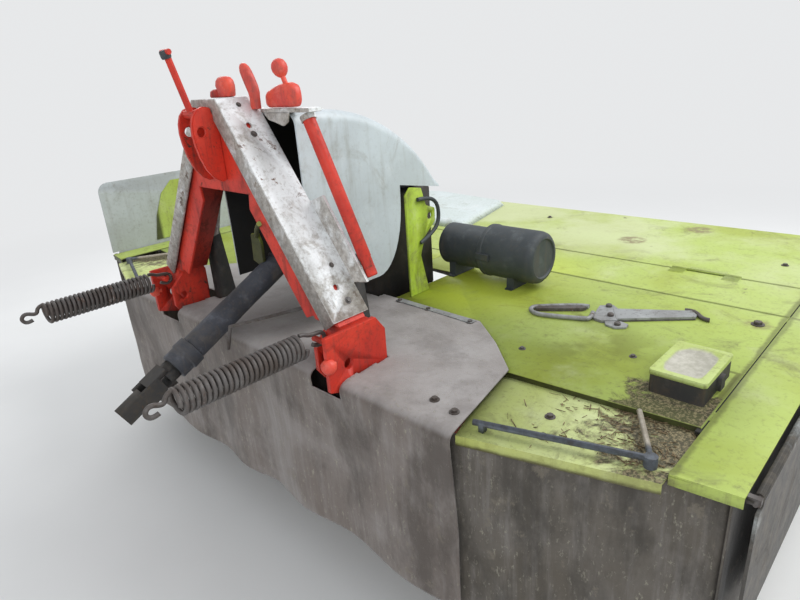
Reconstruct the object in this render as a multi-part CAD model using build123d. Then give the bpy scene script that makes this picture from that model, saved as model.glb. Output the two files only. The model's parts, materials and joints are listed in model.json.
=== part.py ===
from build123d import *
import math
import os

# Front-mounted drum mower. X points right, Y forwards, Z up, seen from its hitch side.
# Lengths are in mm, angles in degrees. Z = 0 is the floor, and Y = 0 is the plane of the hitch triangle
# until the last lines move the whole machine so that its origin is the bottom centre of its box.

# Clearances
seatGap = 0.3
lidGap = 0.5
bearingGap = 0.1
runningGap = 6.0

# Rotors
drumPitch = 630.0
drumY = 560.0
turnedSides = 18
saucerRadius = 285.0
saucerBase = 110.0
saucerShoulder = 249.0
saucerShoulderLift = 32.0
saucerLift = 46.0
saucerSheet = 6.0
hubRadius = 50.0
hubTop = 62.0
flangeRadius = 272.0
flangeBottom = 84.0
flangeThick = 10.0
knifeReach = 340.0
knifeWidth = 46.0
knifeThick = 4.0
knifeRoot = 238.0
knifeTail = 20.0
knifeTip = 18.0
knifePinRadius = 11.0
knifePinHead = 5.0
knivesEach = 2
drumRadius = 130.0
drumWall = 7.0
flareFoot = 238.0
flareWaist = 160.0
flareWaistLift = 52.0
flareTop = 235.0
collarRadius = 150.0
collarHeight = 40.0
drumRibs = 3
ribThick = 10.0
ribReach = 18.0
ribDrop = 69.0
spindleRadius = 30.0
plateHoleRadius = 56.0

# Gear beam under the decks
beamWidth = 230.0
beamHeight = 110.0
beamTop = 728.0
beamOverhang = 95.0
beamChamfer = 22.0
beamFlange = 14.0
gearCaseHalf = 118.0
gearCaseCorner = 26.0
gearCaseEdge = 14.0
gearRear = 400.0
gearFront = 706.0
gearAboveInput = 96.0
inputZ = 1000.0
inputBossRadius = 66.0
inputBossLength = 62.0
stubLength = 88.0
splineRadius = 17.5

# Decks
deckTop = 760.0
sheet = 3.0
seamGap = 4.0
seamX = 1203.0
stripRear = 930.0
guardHingeY = 1189.0
frontEdgeY = 1824.0
frontLip = 60.0
foldY = 222.0
lowerDeckDrop = 15.0
rearInnerX = 816.0
rearInnerY = -62.0
rearOuterY = 62.0
wingOuterX = 1325.0
wingRearY = 78.0
wingFrontChamfer = 90.0
clampY = 400.0
clampHalf = 524.0
clampDepth = 24.0
notchX = 640.0
notchY = 309.0
cornerX = 748.0
cornerY = 210.0
gearCutX = 175.0
gearCutFront = 730.0
lipHeight = 24.0
lipRadius = 7.0
hingeRise = 4.0
hingeRadius = 4.0
hingePlaces = [-900.0, 0.0, 900.0]
hingeLeafHalf = 60.0
hingeLeafSide = 50.0
hingeLeafDepth = 40.0

# Frame under the decks
railDepth = 40.0
railWall = 5.0
railAhead = 64.0
railInset = 25.0
ribPlaces = [230.0, 620.0, 1010.0]

# Guards and canvas
flapHeight = 335.0
flapThick = 6.0
flapCorner = 45.0
flapHingeZ = 750.0
flapBarrel = 8.0
flapPin = 4.0
flapReach = 15.0
skirtBottom = 262.0
canvas = 4.0
hoodRise = 30.0
hoodSlope = 42.0
hoodRight = 170.0
hoodRightFront = 300.0
hoodBend = 745.0
hoodInset = 60.0
hoodRear = 46.0
hoodCorner = 30.0

# Headstock triangle in channels
legTopX = 62.0
legTopZ = 1430.0
legFootX = 470.0
legFootZ = 870.0
legEndZ = 905.0
channelDepth = 116.0
channelFlange = 50.0
channelWall = 8.0
headHeight = 56.0
legHole = 8.0
gussetThick = 10.0
gussetDrop = 246.0
topPlateHalf = 290.0
topPlateDrop = 34.0
topPlateLap = 20.0
stayRadius = 17.0
stayTopX = 264.0
stayFootX = 440.0
stayFootZ = 985.0
crossDrop = 4.0
crossHeight = 80.0
crossHalf = 520.0
uprightX = 357.0
uprightHalf = 27.0
uprightTop = 1030.0
armX = 300.0
armHalf = 42.0

# Coupler that seats in the channels
couplerSideGap = 5.0
couplerWidth = 76.0
headGap = 2.0
webDrop = 162.0
webFootHalf = 150.0
webTopHalf = 50.0
webWall = 12.0
crownDepth = 44.0
linkPinX = 425.0
linkPinY = -45.0
linkPinZ = 800.0
linkBore = 14.6
linkSpan = 62.0
cheekWall = 14.0
footTop = 889.0
footBottom = 718.0
topPinRadius = 12.85
topPinDrop = 78.0
topPinY = -95.0
earSpan = 52.0
leverLength = 150.0
leverRadius = 9.0
gripHalf = 20.0

# Dome guard over the gearbox
domeHalf = 208.0
domeCrown = 74.0
domeWall = 5.0
domeRear = 76.0
domeShoulder = 34.0
domeNoseY = 629.0
domeNoseZ = 1110.0
domeSideY = 440.0
domeBottom = 870.0
domeStretches = 8
bracketWall = 8.0
bracketEye = 12.0

# Drive shaft
ptoSlope = 27.3
guardRadius = 31.0
ptoLength = 560.0
yokeRadius = 30.0
yokeWall = 13.0
yokeSpan = 58.0
yokeReach = 46.0
yokeEye = 18.0
yokeSides = 12
yokeHub = 22.0
inputHub = 34.0
outputHub = 66.0
boreLength = 60.0
crossPin = 11.0
bellRadius = 54.0
bellLength = 80.0
bellWall = 4.0
hookRun = 560.0
hookKnee = (122.0, -160.0, 852.0)
hookTip = (112.0, -172.0, 786.0)
hookRod = 5.0

# Relief springs
springInset = 46.0
springRadius = 31.0
springCore = 25.0
springRings = 10
springSides = 8
springFront = -88.0
springGap = 52.0
springLength = 320.0
springZ = 866.0
springPin = 8.0
springHook = 50.0
springWire = 6.0

# Knife box, tools and tube on the right deck
boxX0 = 1060.0
boxX1 = 1178.0
boxY0 = 322.0
boxY1 = 498.0
boxHeight = 44.0
boxWall = 3.0
lidHeight = 12.0
lidRim = 14.0
tubeY = 750.0
tubeZ = 868.0
tubeRear = 150.0
tubeStep = 330.0
tubeEnd = 540.0
tubeRadius = 74.0
tubeLidRadius = 90.0
tubeSides = 24
saddleHalf = 46.0
toolX = 608.0
toolY = 568.0
toolTurn = 27.5
toolThick = 13.0
loopEnd = 126.0
collarEnd = 168.0
armEnd = 462.0
rodRadius = 6.0

parts = {}


def box(x0, x1, y0, y1, z0, z1):
    return Pos(x0, y0, z0) * Box(x1 - x0, y1 - y0, z1 - z0, align=Align.MIN)


def rod(start, end, radius):
    # A round bar between two points.
    a = Vector(*start)
    along = Vector(*end) - a
    return Plane(origin=a, z_dir=along) * Cylinder(
        radius, along.length, align=(Align.CENTER, Align.CENTER, Align.MIN)
    )


def bar(start, end, radius, sides=8):
    # A many-sided bar between two points.
    a = Vector(*start)
    along = Vector(*end) - a
    return extrude(Plane(origin=a, z_dir=along) * RegularPolygon(radius, sides), along.length)


def bent_bar(points, radius, sides=8):
    # A many-sided bar along a line of points, mitred at its bends.
    path = Polyline(*points)
    section = Plane(origin=path @ 0, z_dir=path % 0) * RegularPolygon(radius, sides)
    return sweep(section, path, transition=Transition.RIGHT)


def outline(points, corner=0):
    # A flat face from its corners, rounded if a corner radius is given.
    face = make_face(Polyline(*points, close=True))
    if corner:
        face = fillet(face.vertices(), corner)
    return face


def slab(points, z0, z1, corner=0):
    # A flat plate from its plan.
    return extrude(Pos(0, 0, z0) * outline(points, corner), z1 - z0)


def side_plate(points, x0, x1, corner=0):
    # A plate standing along Y, from its outline in Y and Z.
    return extrude(Plane.YZ.offset(x0) * outline(points, corner), x1 - x0)


def front_plate(points, y0, y1, corner=0):
    # A plate standing along X, from its outline in X and Z.
    return extrude(Plane.XZ.offset(-y0) * outline(points, corner), -(y1 - y0))


def joined(shapes):
    whole = shapes[0]
    for other in shapes[1:]:
        whole = whole + other
    return whole


def both_sides(shape):
    return [shape, mirror(shape, about=Plane.YZ)]


def ring(radius, z, sides):
    return [Vector(radius, 0, z).rotate(Axis.Z, (i + 0.5) * 360 / sides) for i in range(sides)]


def turned(steps, sides):
    # A many-sided turned solid from its steps of radius and height, lowest first, with flat faces.
    rings = [ring(radius, z, sides) for radius, z in steps]
    faces = [Face(Wire.make_polygon(rings[0])), Face(Wire.make_polygon(rings[-1]))]
    for lower, upper in zip(rings, rings[1:]):
        if abs(lower[0].Z - upper[0].Z) < 0.001:
            inner, outer = sorted((lower, upper), key=lambda points: points[0].length)
            faces.append(Face(Wire.make_polygon(outer), [Wire.make_polygon(inner)]))
            continue
        for i in range(sides):
            j = (i + 1) % sides
            faces.append(Face(Wire.make_polygon([lower[i], lower[j], upper[j], upper[i]])))
    return Solid(Shell(faces))


def bore(radius, z0, z1):
    return Pos(0, 0, z0) * Cylinder(radius, z1 - z0, align=(Align.CENTER, Align.CENTER, Align.MIN))


# Rotors: name, X place in pitches, angle of the first knife
rotors = [
    ("1", -1.5, 0.0),
    ("2", -0.5, 90.0),
    ("3", 0.5, 0.0),
    ("4", 1.5, 90.0),
]
beamBottom = beamTop - beamHeight
drumTop = beamBottom - runningGap
flangeTop = flangeBottom + flangeThick
waistZ = flangeTop + flareWaistLift
shaftBore = spindleRadius + bearingGap

# Drum: knife plate, flared foot, barrel with ribs, collar
shell = turned(
    [
        (flangeRadius, flangeBottom),
        (flangeRadius, flangeTop),
        (flareFoot, flangeTop),
        (flareWaist, waistZ),
        (drumRadius, flareTop),
        (drumRadius, drumTop - collarHeight),
        (collarRadius, drumTop - collarHeight),
        (collarRadius, drumTop),
    ],
    turnedSides,
)
hollow = turned(
    [
        (flareFoot - drumWall, flangeTop),
        (flareWaist - drumWall, waistZ),
        (drumRadius - drumWall, flareTop),
        (drumRadius - drumWall, drumTop - drumWall),
    ],
    turnedSides,
)
rib = side_plate(
    [
        (drumRadius - drumWall / 2, flareTop - ribDrop),
        (drumRadius + 2 * ribReach, flareTop - ribDrop),
        (drumRadius + ribReach, flareTop + ribDrop / 2),
        (drumRadius + ribReach, drumTop - collarHeight - drumWall),
        (drumRadius - drumWall / 2, drumTop - collarHeight - drumWall),
    ],
    -ribThick / 2,
    ribThick / 2,
)
ribs = [Rot(0, 0, i * 360 / drumRibs) * rib for i in range(drumRibs)]
plateHole = turned([(plateHoleRadius, flangeBottom - 1), (plateHoleRadius, flangeTop + 1)], turnedSides)
drum = joined([shell] + ribs) - hollow - plateHole - bore(shaftBore, drumTop - 2 * drumWall, drumTop + 1)

# Knives: a blade with its pin, one at each end of the knife plate
knifeTop = flangeBottom
blade = slab(
    [
        (knifeRoot - knifeTail, -knifeWidth / 2),
        (knifeReach - knifeTip, -knifeWidth / 2),
        (knifeReach, -knifeWidth / 2 + knifeTip),
        (knifeReach, knifeWidth / 2),
        (knifeRoot - knifeTail, knifeWidth / 2),
    ],
    knifeTop - knifeThick,
    knifeTop,
)
pinTop = knifeTop - knifeThick
pinHead = bar((knifeRoot, 0, pinTop), (knifeRoot, 0, pinTop - knifePinHead), knifePinRadius, 6)
knife = blade + pinHead

# Saucer: pressed dish with the hub that runs on the spindle
dish = turned(
    [
        (saucerBase, 0),
        (saucerShoulder, saucerShoulderLift),
        (saucerRadius, saucerLift),
        (saucerRadius, saucerLift + saucerSheet),
    ],
    turnedSides,
)
dishInside = turned(
    [
        (saucerBase, saucerSheet),
        (saucerShoulder - 2, saucerShoulderLift + saucerSheet),
        (saucerRadius - 2, saucerLift + saucerSheet),
        (saucerRadius - 2, saucerLift + 2 * saucerSheet),
    ],
    turnedSides,
)
hub = turned([(hubRadius, saucerSheet), (hubRadius, hubTop)], turnedSides)
hub = hub - bore(shaftBore, saucerSheet, hubTop + 1)
saucer = dish - dishInside + hub

for name, place, turn in rotors:
    axis = Pos(place * drumPitch, drumY, 0)
    parts["drum_" + name] = axis * Rot(0, 0, turn + 45) * drum
    pair = [axis * Rot(0, 0, turn + i * 360 / knivesEach) * knife for i in range(knivesEach)]
    parts["knives_" + name] = Compound(children=pair)
    parts["saucer_" + name] = axis * saucer

# Gear beam with its end flanges and a spindle at each rotor
beamEnd = 1.5 * drumPitch + beamOverhang
beamHalf = beamWidth / 2
beamProfile = Pos(drumY, beamTop - beamHeight / 2) * Rectangle(beamWidth, beamHeight)
beamProfile = chamfer(beamProfile.vertices(), beamChamfer)
beam = extrude(Plane.YZ.offset(-beamEnd) * beamProfile, 2 * beamEnd)
for side in (-1, 1):
    x0, x1 = sorted((side * beamEnd, side * (beamEnd + beamFlange)))
    beam = beam + box(x0, x1, drumY - beamHalf, drumY + beamHalf, beamBottom, beamTop)
spindleFoot = saucerSheet + 2
spindle = bore(spindleRadius, spindleFoot, beamBottom)
spindles = [Pos(place * drumPitch, drumY, 0) * spindle for _, place, _ in rotors]
parts["gear_beam"] = joined([beam] + spindles)

# Main gearbox on the middle of the beam, with its input shaft
case = box(-gearCaseHalf, gearCaseHalf, gearRear, gearFront, beamTop, inputZ + gearAboveInput)
case = chamfer(case.edges().filter_by(Axis.Z), gearCaseCorner)
case = chamfer(case.faces().sort_by(Axis.Z)[-1].edges(), gearCaseEdge)
boss = bar((0, gearRear + 20, inputZ), (0, gearRear - inputBossLength, inputZ), inputBossRadius, 24)
stubEnd = gearRear - inputBossLength - stubLength
shaft = rod((0, gearRear, inputZ), (0, stubEnd, inputZ), splineRadius)
parts["main_gearbox"] = case + boss + shaft

# Frame under the decks: rails folded to a U that opens downwards, with flat ribs between them
frameTop = deckTop - sheet
lowerTop = deckTop - lowerDeckDrop
stepY = foldY + railAhead
railEnd = wingOuterX - railInset
railRears = [stepY, stripRear + 10 - railDepth, guardHingeY - 8 - railDepth]
frame = []
for y in railRears:
    rail = box(-railEnd, railEnd, y, y + railDepth, beamTop, frameTop)
    inner, outer = y + railWall, y + railDepth - railWall
    inside = box(-railEnd - 1, railEnd + 1, inner, outer, beamTop - 1, frameTop - railWall)
    frame.append(rail - inside)
for x in ribPlaces:
    for rear, front in zip(railRears, railRears[1:]):
        frame.extend(both_sides(box(x, x + railWall, rear + railDepth - 1, front + 1, beamTop, frameTop)))
    frame.extend(both_sides(box(x, x + railWall, wingRearY + 12, stepY + 1, beamTop, lowerTop - sheet)))
parts["deck_frame"] = joined(frame)

# Cross tube under the triangle, arms to the beam and uprights to the gusset plates
half = channelDepth / 2
crossFront = half + 22
crossTop = footBottom - crossDrop
cross = box(-crossHalf, crossHalf, -10, crossFront, crossTop - crossHeight, crossTop)
arm = side_plate(
    [
        (crossFront - 2, crossTop - crossHeight + 4),
        (drumY - beamHalf, beamTop - beamHeight + 14),
        (drumY - beamHalf, beamTop - 6),
        (crossFront - 2, crossTop - 6),
    ],
    armX - armHalf,
    armX + armHalf,
)
uprightRear = half + gussetThick + seatGap
upright = side_plate(
    [
        (uprightRear, crossTop - crossHeight),
        (uprightRear + 58, crossTop - crossHeight),
        (uprightRear + 58, crossTop + 40),
        (uprightRear + 30, uprightTop),
        (uprightRear, uprightTop),
    ],
    uprightX - uprightHalf,
    uprightX + uprightHalf,
)
parts["carrier_arms"] = joined([cross] + both_sides(arm) + both_sides(upright))

# Headstock triangle: two channels open inwards, head block, gusset plates
legRun = Vector(legFootX - legTopX, 0, legFootZ - legTopZ)
legLength = legRun.length
legPlane = Plane(origin=(legTopX, 0, legTopZ), x_dir=(0, 1, 0), z_dir=legRun)
inwards = -1 if legPlane.y_dir.X > 0 else 1


def leg_bar(y0, y1, in0, in1, run0, run1):
    # A bar along the right leg: Y range, distance range inwards of its outer face, range along it.
    low = min(in0 * inwards, in1 * inwards)
    return legPlane * Pos(y0, low, run0) * Box(y1 - y0, in1 - in0, run1 - run0, align=Align.MIN)


def leg_x(z):
    # X of the leg's outer face at a height.
    return legTopX + (legTopZ - z) * (legFootX - legTopX) / (legTopZ - legFootZ)


def leg_run(z):
    # Distance along the leg at which its outer face comes down to a height.
    return legLength * (legTopZ - z) / (legTopZ - legFootZ)


legEnd = leg_run(legEndZ)
leg = leg_bar(-half, half, 0, channelWall, 0, legEnd)
leg = leg + leg_bar(-half, -half + channelWall, 0, channelFlange, 0, legEnd)
leg = leg + leg_bar(half - channelWall, half, 0, channelFlange, 0, legEnd)
gussetTopZ = legTopZ - gussetDrop
gusset = front_plate(
    [
        (leg_x(gussetTopZ) + 64, gussetTopZ),
        (leg_x(stayFootZ) + 60, stayFootZ - 8),
        (leg_x(stayFootZ) - 6, stayFootZ - 20),
        (leg_x(stayFootZ + 70) - 62, stayFootZ + 20),
        (leg_x(gussetTopZ) - 30, gussetTopZ - 34),
    ],
    half,
    half + gussetThick,
)
headFoot = legTopZ - headHeight
headFootX = leg_x(headFoot)
headPoints = [(-legTopX, legTopZ), (legTopX, legTopZ), (headFootX, headFoot), (-headFootX, headFoot)]
head = front_plate(headPoints, -half, half)
legHoles = []
for z in (legTopZ - 70, legEndZ + 66):
    legHoles.append(bar((leg_x(z) - 30, 0, z), (leg_x(z) + 30, 0, z), legHole))
rightSide = leg + gusset - joined(legHoles)
parts["headstock_frame"] = joined(both_sides(rightSide) + [head])

# Thin plate across the top, with an eye for each stay tube
topPlateZ = legTopZ - topPlateDrop
topPlateFoot = topPlateZ - gussetThick
topPlateRear = half + seatGap
topPlate = box(-topPlateHalf, topPlateHalf, topPlateRear, domeRear + topPlateLap, topPlateFoot, topPlateZ)
eye = box(stayTopX - 30, stayTopX + 28, topPlateRear, half + 42, topPlateFoot, topPlateZ)
parts["headstock_top"] = joined([topPlate] + both_sides(eye))

# Stay tubes outside the legs
stayY = half + gussetThick + stayRadius + seatGap
stayTopZ = topPlateFoot - 8
stay = bar((stayTopX, stayY, stayTopZ), (stayFootX, stayY, stayFootZ), stayRadius, 16)
parts["stay_tubes"] = Compound(children=both_sides(stay))

# Coupler: inverted V that seats in the channels, with a web across its head and forked feet below
cIn = channelWall + seatGap
cHalf = half - channelWall - couplerSideGap
cTop = leg_run(headFoot) + headGap
cEnd = leg_run(footTop)
belowLeg = box(0, 2 * linkPinX, -half, half, 0, footTop)
cLeg = leg_bar(-cHalf, cHalf, cIn, cIn + couplerWidth, cTop, cEnd + couplerWidth) - belowLeg
topPinZ = legTopZ - topPinDrop
webTop = headFoot - 2 * headGap - 4
webFoot = topPinZ - webDrop
webPoints = [(-webFootHalf, webFoot), (webFootHalf, webFoot), (webTopHalf, webTop), (-webTopHalf, webTop)]
web = front_plate(webPoints, -cHalf, webWall - cHalf)
crown = box(-webTopHalf, webTopHalf, -cHalf, cHalf, webTop - crownDepth, webTop)
footBack = front_plate(
    [
        (linkPinX - linkSpan / 2, footBottom + 4),
        (linkPinX + linkSpan / 2, footBottom + 4),
        (linkPinX + linkSpan / 2, footTop),
        (linkPinX - linkSpan / 2, footTop),
    ],
    10,
    cHalf,
)
footRoof = box(linkPinX - linkSpan / 2, linkPinX + linkSpan / 2, -cHalf, cHalf, linkPinZ + cHalf, footTop)
outerCheek = side_plate(
    [
        (springFront - 22, linkPinZ - 56),
        (-34, footBottom + 2),
        (50, footBottom),
        (half + 28, linkPinZ - 42),
        (half + 28, linkPinZ + 48),
        (half - 2, footTop),
        (springFront - 22, footTop),
    ],
    linkPinX + linkSpan / 2,
    linkPinX + linkSpan / 2 + cheekWall,
)
innerCheek = side_plate(
    [
        (linkPinY - 36, linkPinZ - 30),
        (linkPinY - 14, linkPinZ - 62),
        (cHalf, footBottom + 2),
        (cHalf, footTop),
        (linkPinY + 22, footTop),
        (linkPinY - 36, linkPinZ + 32),
    ],
    linkPinX - linkSpan / 2 - cheekWall,
    linkPinX - linkSpan / 2,
)
springX = linkPinX + linkSpan / 2 - springInset
springBarOuter = (linkPinX + linkSpan / 2 + 4, springFront, springZ)
springBar = bar(springBarOuter, (springX - 14, springFront, springZ), springPin)
across = linkSpan / 2 + cheekWall + 1
linkHole = rod((linkPinX - across, linkPinY, linkPinZ), (linkPinX + across, linkPinY, linkPinZ), linkBore)
coupledFoot = footBack + footRoof + outerCheek + innerCheek + springBar - linkHole
parts["coupler_foot_right"] = coupledFoot
parts["coupler_foot_left"] = mirror(coupledFoot, about=Plane.YZ)
parts["coupler_frame"] = joined(both_sides(cLeg) + [web, crown])

# Ears for the top link, on the rear face of the coupler's head
ear = side_plate(
    [
        (-cHalf, topPinZ - 142),
        (-cHalf, webTop),
        (-half - 4, webTop + 8),
        (-half - 4, topPinZ + 60),
        (topPinY - 12, topPinZ + 64),
        (topPinY - 32, topPinZ + 30),
        (topPinY - 30, topPinZ - 64),
        (topPinY - 6, topPinZ - 124),
    ],
    earSpan / 2,
    earSpan / 2 + cheekWall,
)
ear = ear - rod((0, topPinY, topPinZ), (earSpan, topPinY, topPinZ), topPinRadius)
parts["top_link_ears"] = Compound(children=both_sides(ear))

# Lock lever between the ears, with its cross grip
leverZ = topPinZ + 44
leverTop = (0, topPinY - 38, leverZ + leverLength)
lever = bar((0, topPinY, leverZ), leverTop, leverRadius)
bossHalf = earSpan / 2 - seatGap
lever = lever + bar((-bossHalf, topPinY, leverZ), (bossHalf, topPinY, leverZ), leverRadius + 3)
grip = bar((-gripHalf, leverTop[1], leverTop[2]), (gripHalf, leverTop[1], leverTop[2]), leverRadius - 2)
parts["lock_lever"] = lever + grip

# Upper decks with the fold at their rear edge, lower rear decks with a folded lip, fixed wings
lowerRear = [(rearInnerX, rearInnerY), (seamX - seamGap / 2, rearOuterY - 14)]
wingRear = [(seamX + seamGap / 2, rearOuterY + 2), (wingOuterX, wingRearY)]


def folded_lip(start, end, top):
    # The rear edge of a deck, folded down with a rounded corner.
    a = Vector(start[0], start[1], top)
    along = Vector(end[0], end[1], top) - a
    profile = Pos(lipRadius, -lipHeight / 2) * Rectangle(2 * lipRadius, lipHeight)
    profile = fillet(profile.vertices().group_by(Axis.X)[0].sort_by(Axis.Y)[-1], lipRadius - 1)
    hollow = Pos(lipRadius + sheet, -lipHeight / 2 - sheet) * Rectangle(2 * lipRadius, lipHeight)
    profile = profile - hollow
    plane = Plane(origin=a, x_dir=(-along.Y, along.X, 0), z_dir=along)
    return extrude(plane * profile, along.length)


mainDeck = slab(
    [
        (2, stripRear - seamGap),
        (2, gearCutFront),
        (gearCutX, gearCutFront),
        (gearCutX, clampY),
        (clampHalf, clampY - 8),
        (notchX, notchY),
        (cornerX, cornerY),
        (seamX - seamGap / 2, foldY + 26),
        (seamX - seamGap / 2, stripRear - seamGap),
    ],
    deckTop - sheet,
    deckTop,
)
foldRun = Vector(seamX - seamGap / 2 - cornerX, foldY + 26 - cornerY, 0)
foldPlane = Plane(origin=(cornerX, cornerY, deckTop), x_dir=(-foldRun.Y, foldRun.X, 0), z_dir=foldRun)
foldDepth = lowerDeckDrop - seatGap
fold = extrude(foldPlane * (Pos(sheet / 2, -foldDepth / 2) * Rectangle(sheet, foldDepth)), foldRun.length)
rearDeckInner = [(cornerX - 13, foldY + 30), (cornerX - 13, cornerY - 10)]
rearDeckPlan = rearDeckInner + lowerRear + [(seamX - seamGap / 2, foldY + 60)]
rearDeck = slab(rearDeckPlan, lowerTop - sheet, lowerTop)
wing = slab(
    wingRear
    + [
        (wingOuterX, frontEdgeY - wingFrontChamfer),
        (seamX + 30, frontEdgeY - 8),
        (seamX + seamGap / 2, frontEdgeY - 8),
    ],
    deckTop - sheet,
    deckTop,
)
parts["main_decks"] = Compound(children=both_sides(mainDeck + fold))
parts["rear_decks"] = Compound(children=both_sides(rearDeck + folded_lip(*lowerRear, lowerTop)))
parts["end_wings"] = Compound(children=both_sides(wing + folded_lip(*wingRear, deckTop)))

# Front strip and the folding guard, with the knuckles of their hinges
guardAxisY = guardHingeY - seamGap / 2
guardAxisZ = deckTop + hingeRise
seamHalf = seamX - 2
strip = box(-seamHalf, seamHalf, stripRear, guardHingeY - seamGap, deckTop - sheet, deckTop)
guard = box(-seamHalf, seamHalf, guardHingeY, frontEdgeY, deckTop - sheet, deckTop)
guard = guard + box(-seamHalf, seamHalf, frontEdgeY - sheet, frontEdgeY, deckTop - frontLip, deckTop)
bend = guard.edges().filter_by(Axis.X).sort_by(lambda e: e.center().Y + e.center().Z)[-1]
guard = fillet(bend, sheet - 0.5)
leafTop = deckTop + sheet
for x in hingePlaces:
    x0, x1 = x - hingeLeafHalf, x + hingeLeafHalf
    guard = guard + bar((x0, guardAxisY, guardAxisZ), (x1, guardAxisY, guardAxisZ), hingeRadius)
    guard = guard + box(x0, x1, guardAxisY, guardAxisY + hingeLeafDepth, deckTop, leafTop)
    for side in (-1, 1):
        inner, outer = hingeLeafHalf + 0.5, hingeLeafHalf + hingeLeafSide
        x0, x1 = sorted((x + side * inner, x + side * outer))
        strip = strip + bar((x0, guardAxisY, guardAxisZ), (x1, guardAxisY, guardAxisZ), hingeRadius)
        strip = strip + box(x0, x1, guardAxisY - hingeLeafDepth, guardAxisY, deckTop, leafTop)
parts["front_strip"] = strip
parts["front_guard"] = guard

# Raised hood on the left part of the front guard
hoodPlan = outline(
    [
        (hoodInset - seamX, guardHingeY + hoodRear),
        (-hoodRight, guardHingeY + hoodRear),
        (-hoodRightFront, frontEdgeY - 66),
        (-hoodBend, frontEdgeY - 8),
        (hoodInset - seamX, frontEdgeY - hoodInset),
    ],
    hoodCorner,
)
parts["front_hood"] = extrude(Pos(0, 0, deckTop) * hoodPlan, hoodRise, taper=hoodSlope)

# Dome guard: bent sheet with rounded shoulders, open at the rear and below, its roof running on as a visor
domeTop = topPlateZ - gussetThick - seatGap


def dome_block(inset):
    # The dome's outer form, or its hollow when inset by the wall. The roof bends in short flat stretches.
    rear = domeRear - (inset and 1)
    low = domeBottom - (inset and 1)
    nose = (domeNoseY - inset, domeNoseZ - inset)
    crown = (domeRear + domeCrown, domeTop - inset)
    arc = TangentArc(crown, nose, tangent=(1, 0))
    roof = [tuple(arc @ (i / domeStretches))[:2] for i in range(domeStretches + 1)]
    face = outline([(nose[0], low), (rear, low), (rear, domeTop - inset)] + roof)
    block = extrude(Plane.YZ.offset(inset - domeHalf) * face, 2 * (domeHalf - inset))
    sides = block.faces().filter_by(Axis.X)
    shoulders = [e for side in sides for e in side.edges() if (e @ 0.5).Z > domeNoseZ - 9]
    shoulders = [e for e in shoulders if (e @ 0.5).Y > domeRear + 10 and abs((e % 0.5).Z) < 0.98]
    return fillet(shoulders, domeShoulder - inset)


sideFront = make_face(
    [
        Polyline(
            (domeRear + 250, domeBottom - 1),
            (domeNoseY + 40, domeBottom - 1),
            (domeNoseY + 40, domeNoseZ - 8),
            (domeNoseY - 17, domeNoseZ - 8),
            (domeSideY - 2, domeNoseZ + 26),
            (domeSideY + 2, domeNoseZ - 10),
        ),
        ThreePointArc(
            (domeSideY + 2, domeNoseZ - 10),
            (domeSideY - 8, domeNoseZ - 118),
            (domeRear + 250, domeBottom - 1),
        ),
    ]
)
domeCut = extrude(Plane.YZ.offset(-domeHalf - 1) * sideFront, 2 * domeHalf + 2)
parts["dome_guard"] = dome_block(0) - dome_block(domeWall) - domeCut

# Brackets beside the dome, each with an eye
bracketY = domeSideY + 15
bracketPlan = (domeHalf + seatGap, domeHalf + seatGap + bracketWall)
bracket = side_plate(
    [
        (bracketY, deckTop),
        (bracketY, inputZ + 100),
        (bracketY + 24, inputZ + 122),
        (bracketY + 76, inputZ + 112),
        (bracketY + 96, inputZ + 52),
        (bracketY + 138, inputZ + 36),
        (bracketY + 138, inputZ - 8),
        (bracketY + 82, inputZ - 52),
        (bracketY + 60, inputZ - 110),
        (bracketY + 92, deckTop),
    ],
    *bracketPlan,
)
eyeAt = (bracketY + 112, inputZ + 14)
bracket = bracket - bar((bracketPlan[0] - 1, *eyeAt), (bracketPlan[1] + 1, *eyeAt), bracketEye, 12)
parts["lift_brackets"] = Compound(children=both_sides(bracket))

# Side flaps on hinge rods at the wings' outer edges: the right one hangs, the left one stands folded up
flapRear = wingRearY + 4
flapFront = frontEdgeY - wingFrontChamfer - 10
flapAxisX = wingOuterX + flapReach
barrelRear = flapRear + 28
barrelFront = flapFront - 28
flapHinges = []
for side, label, up in ((1, "right", -1), (-1, "left", 1)):
    panel = [
        (flapRear, flapHingeZ + up * 16),
        (flapRear, flapHingeZ + up * flapHeight),
        (flapFront, flapHingeZ + up * flapHeight),
        (flapFront, flapHingeZ + up * 16),
    ]
    outward = -up * side
    axisX = side * flapAxisX
    x0, x1 = sorted((axisX + outward * (flapBarrel - flapThick), axisX + outward * flapBarrel))
    flap = side_plate(panel, x0, x1)
    flap = fillet(flap.edges().filter_by(Axis.X).group_by(Axis.Z)[0 if up < 0 else -1], flapCorner)
    neck = [
        (barrelRear, flapHingeZ + up * 4),
        (barrelRear, flapHingeZ + up * 17),
        (barrelFront, flapHingeZ + up * 17),
        (barrelFront, flapHingeZ + up * 4),
    ]
    flap = flap + side_plate(neck, x0, x1)
    flap = flap + bar((axisX, barrelRear, flapHingeZ), (axisX, barrelFront, flapHingeZ), flapBarrel)
    flap = flap - rod((axisX, flapRear, flapHingeZ), (axisX, flapFront, flapHingeZ), flapPin + bearingGap)
    parts["side_flap_" + label] = flap
    hinge = bar((axisX, flapRear, flapHingeZ), (axisX, flapFront, flapHingeZ), flapPin)
    for y in (flapRear + 8, flapFront - 20):
        x0, x1 = sorted((side * (wingOuterX - 30), side * (flapAxisX + 7)))
        hinge = hinge + box(x0, x1, y, y + 12, flapHingeZ - 7, deckTop - sheet)
    flapHinges.append(hinge)
parts["flap_hinges"] = Compound(children=flapHinges)

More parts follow.
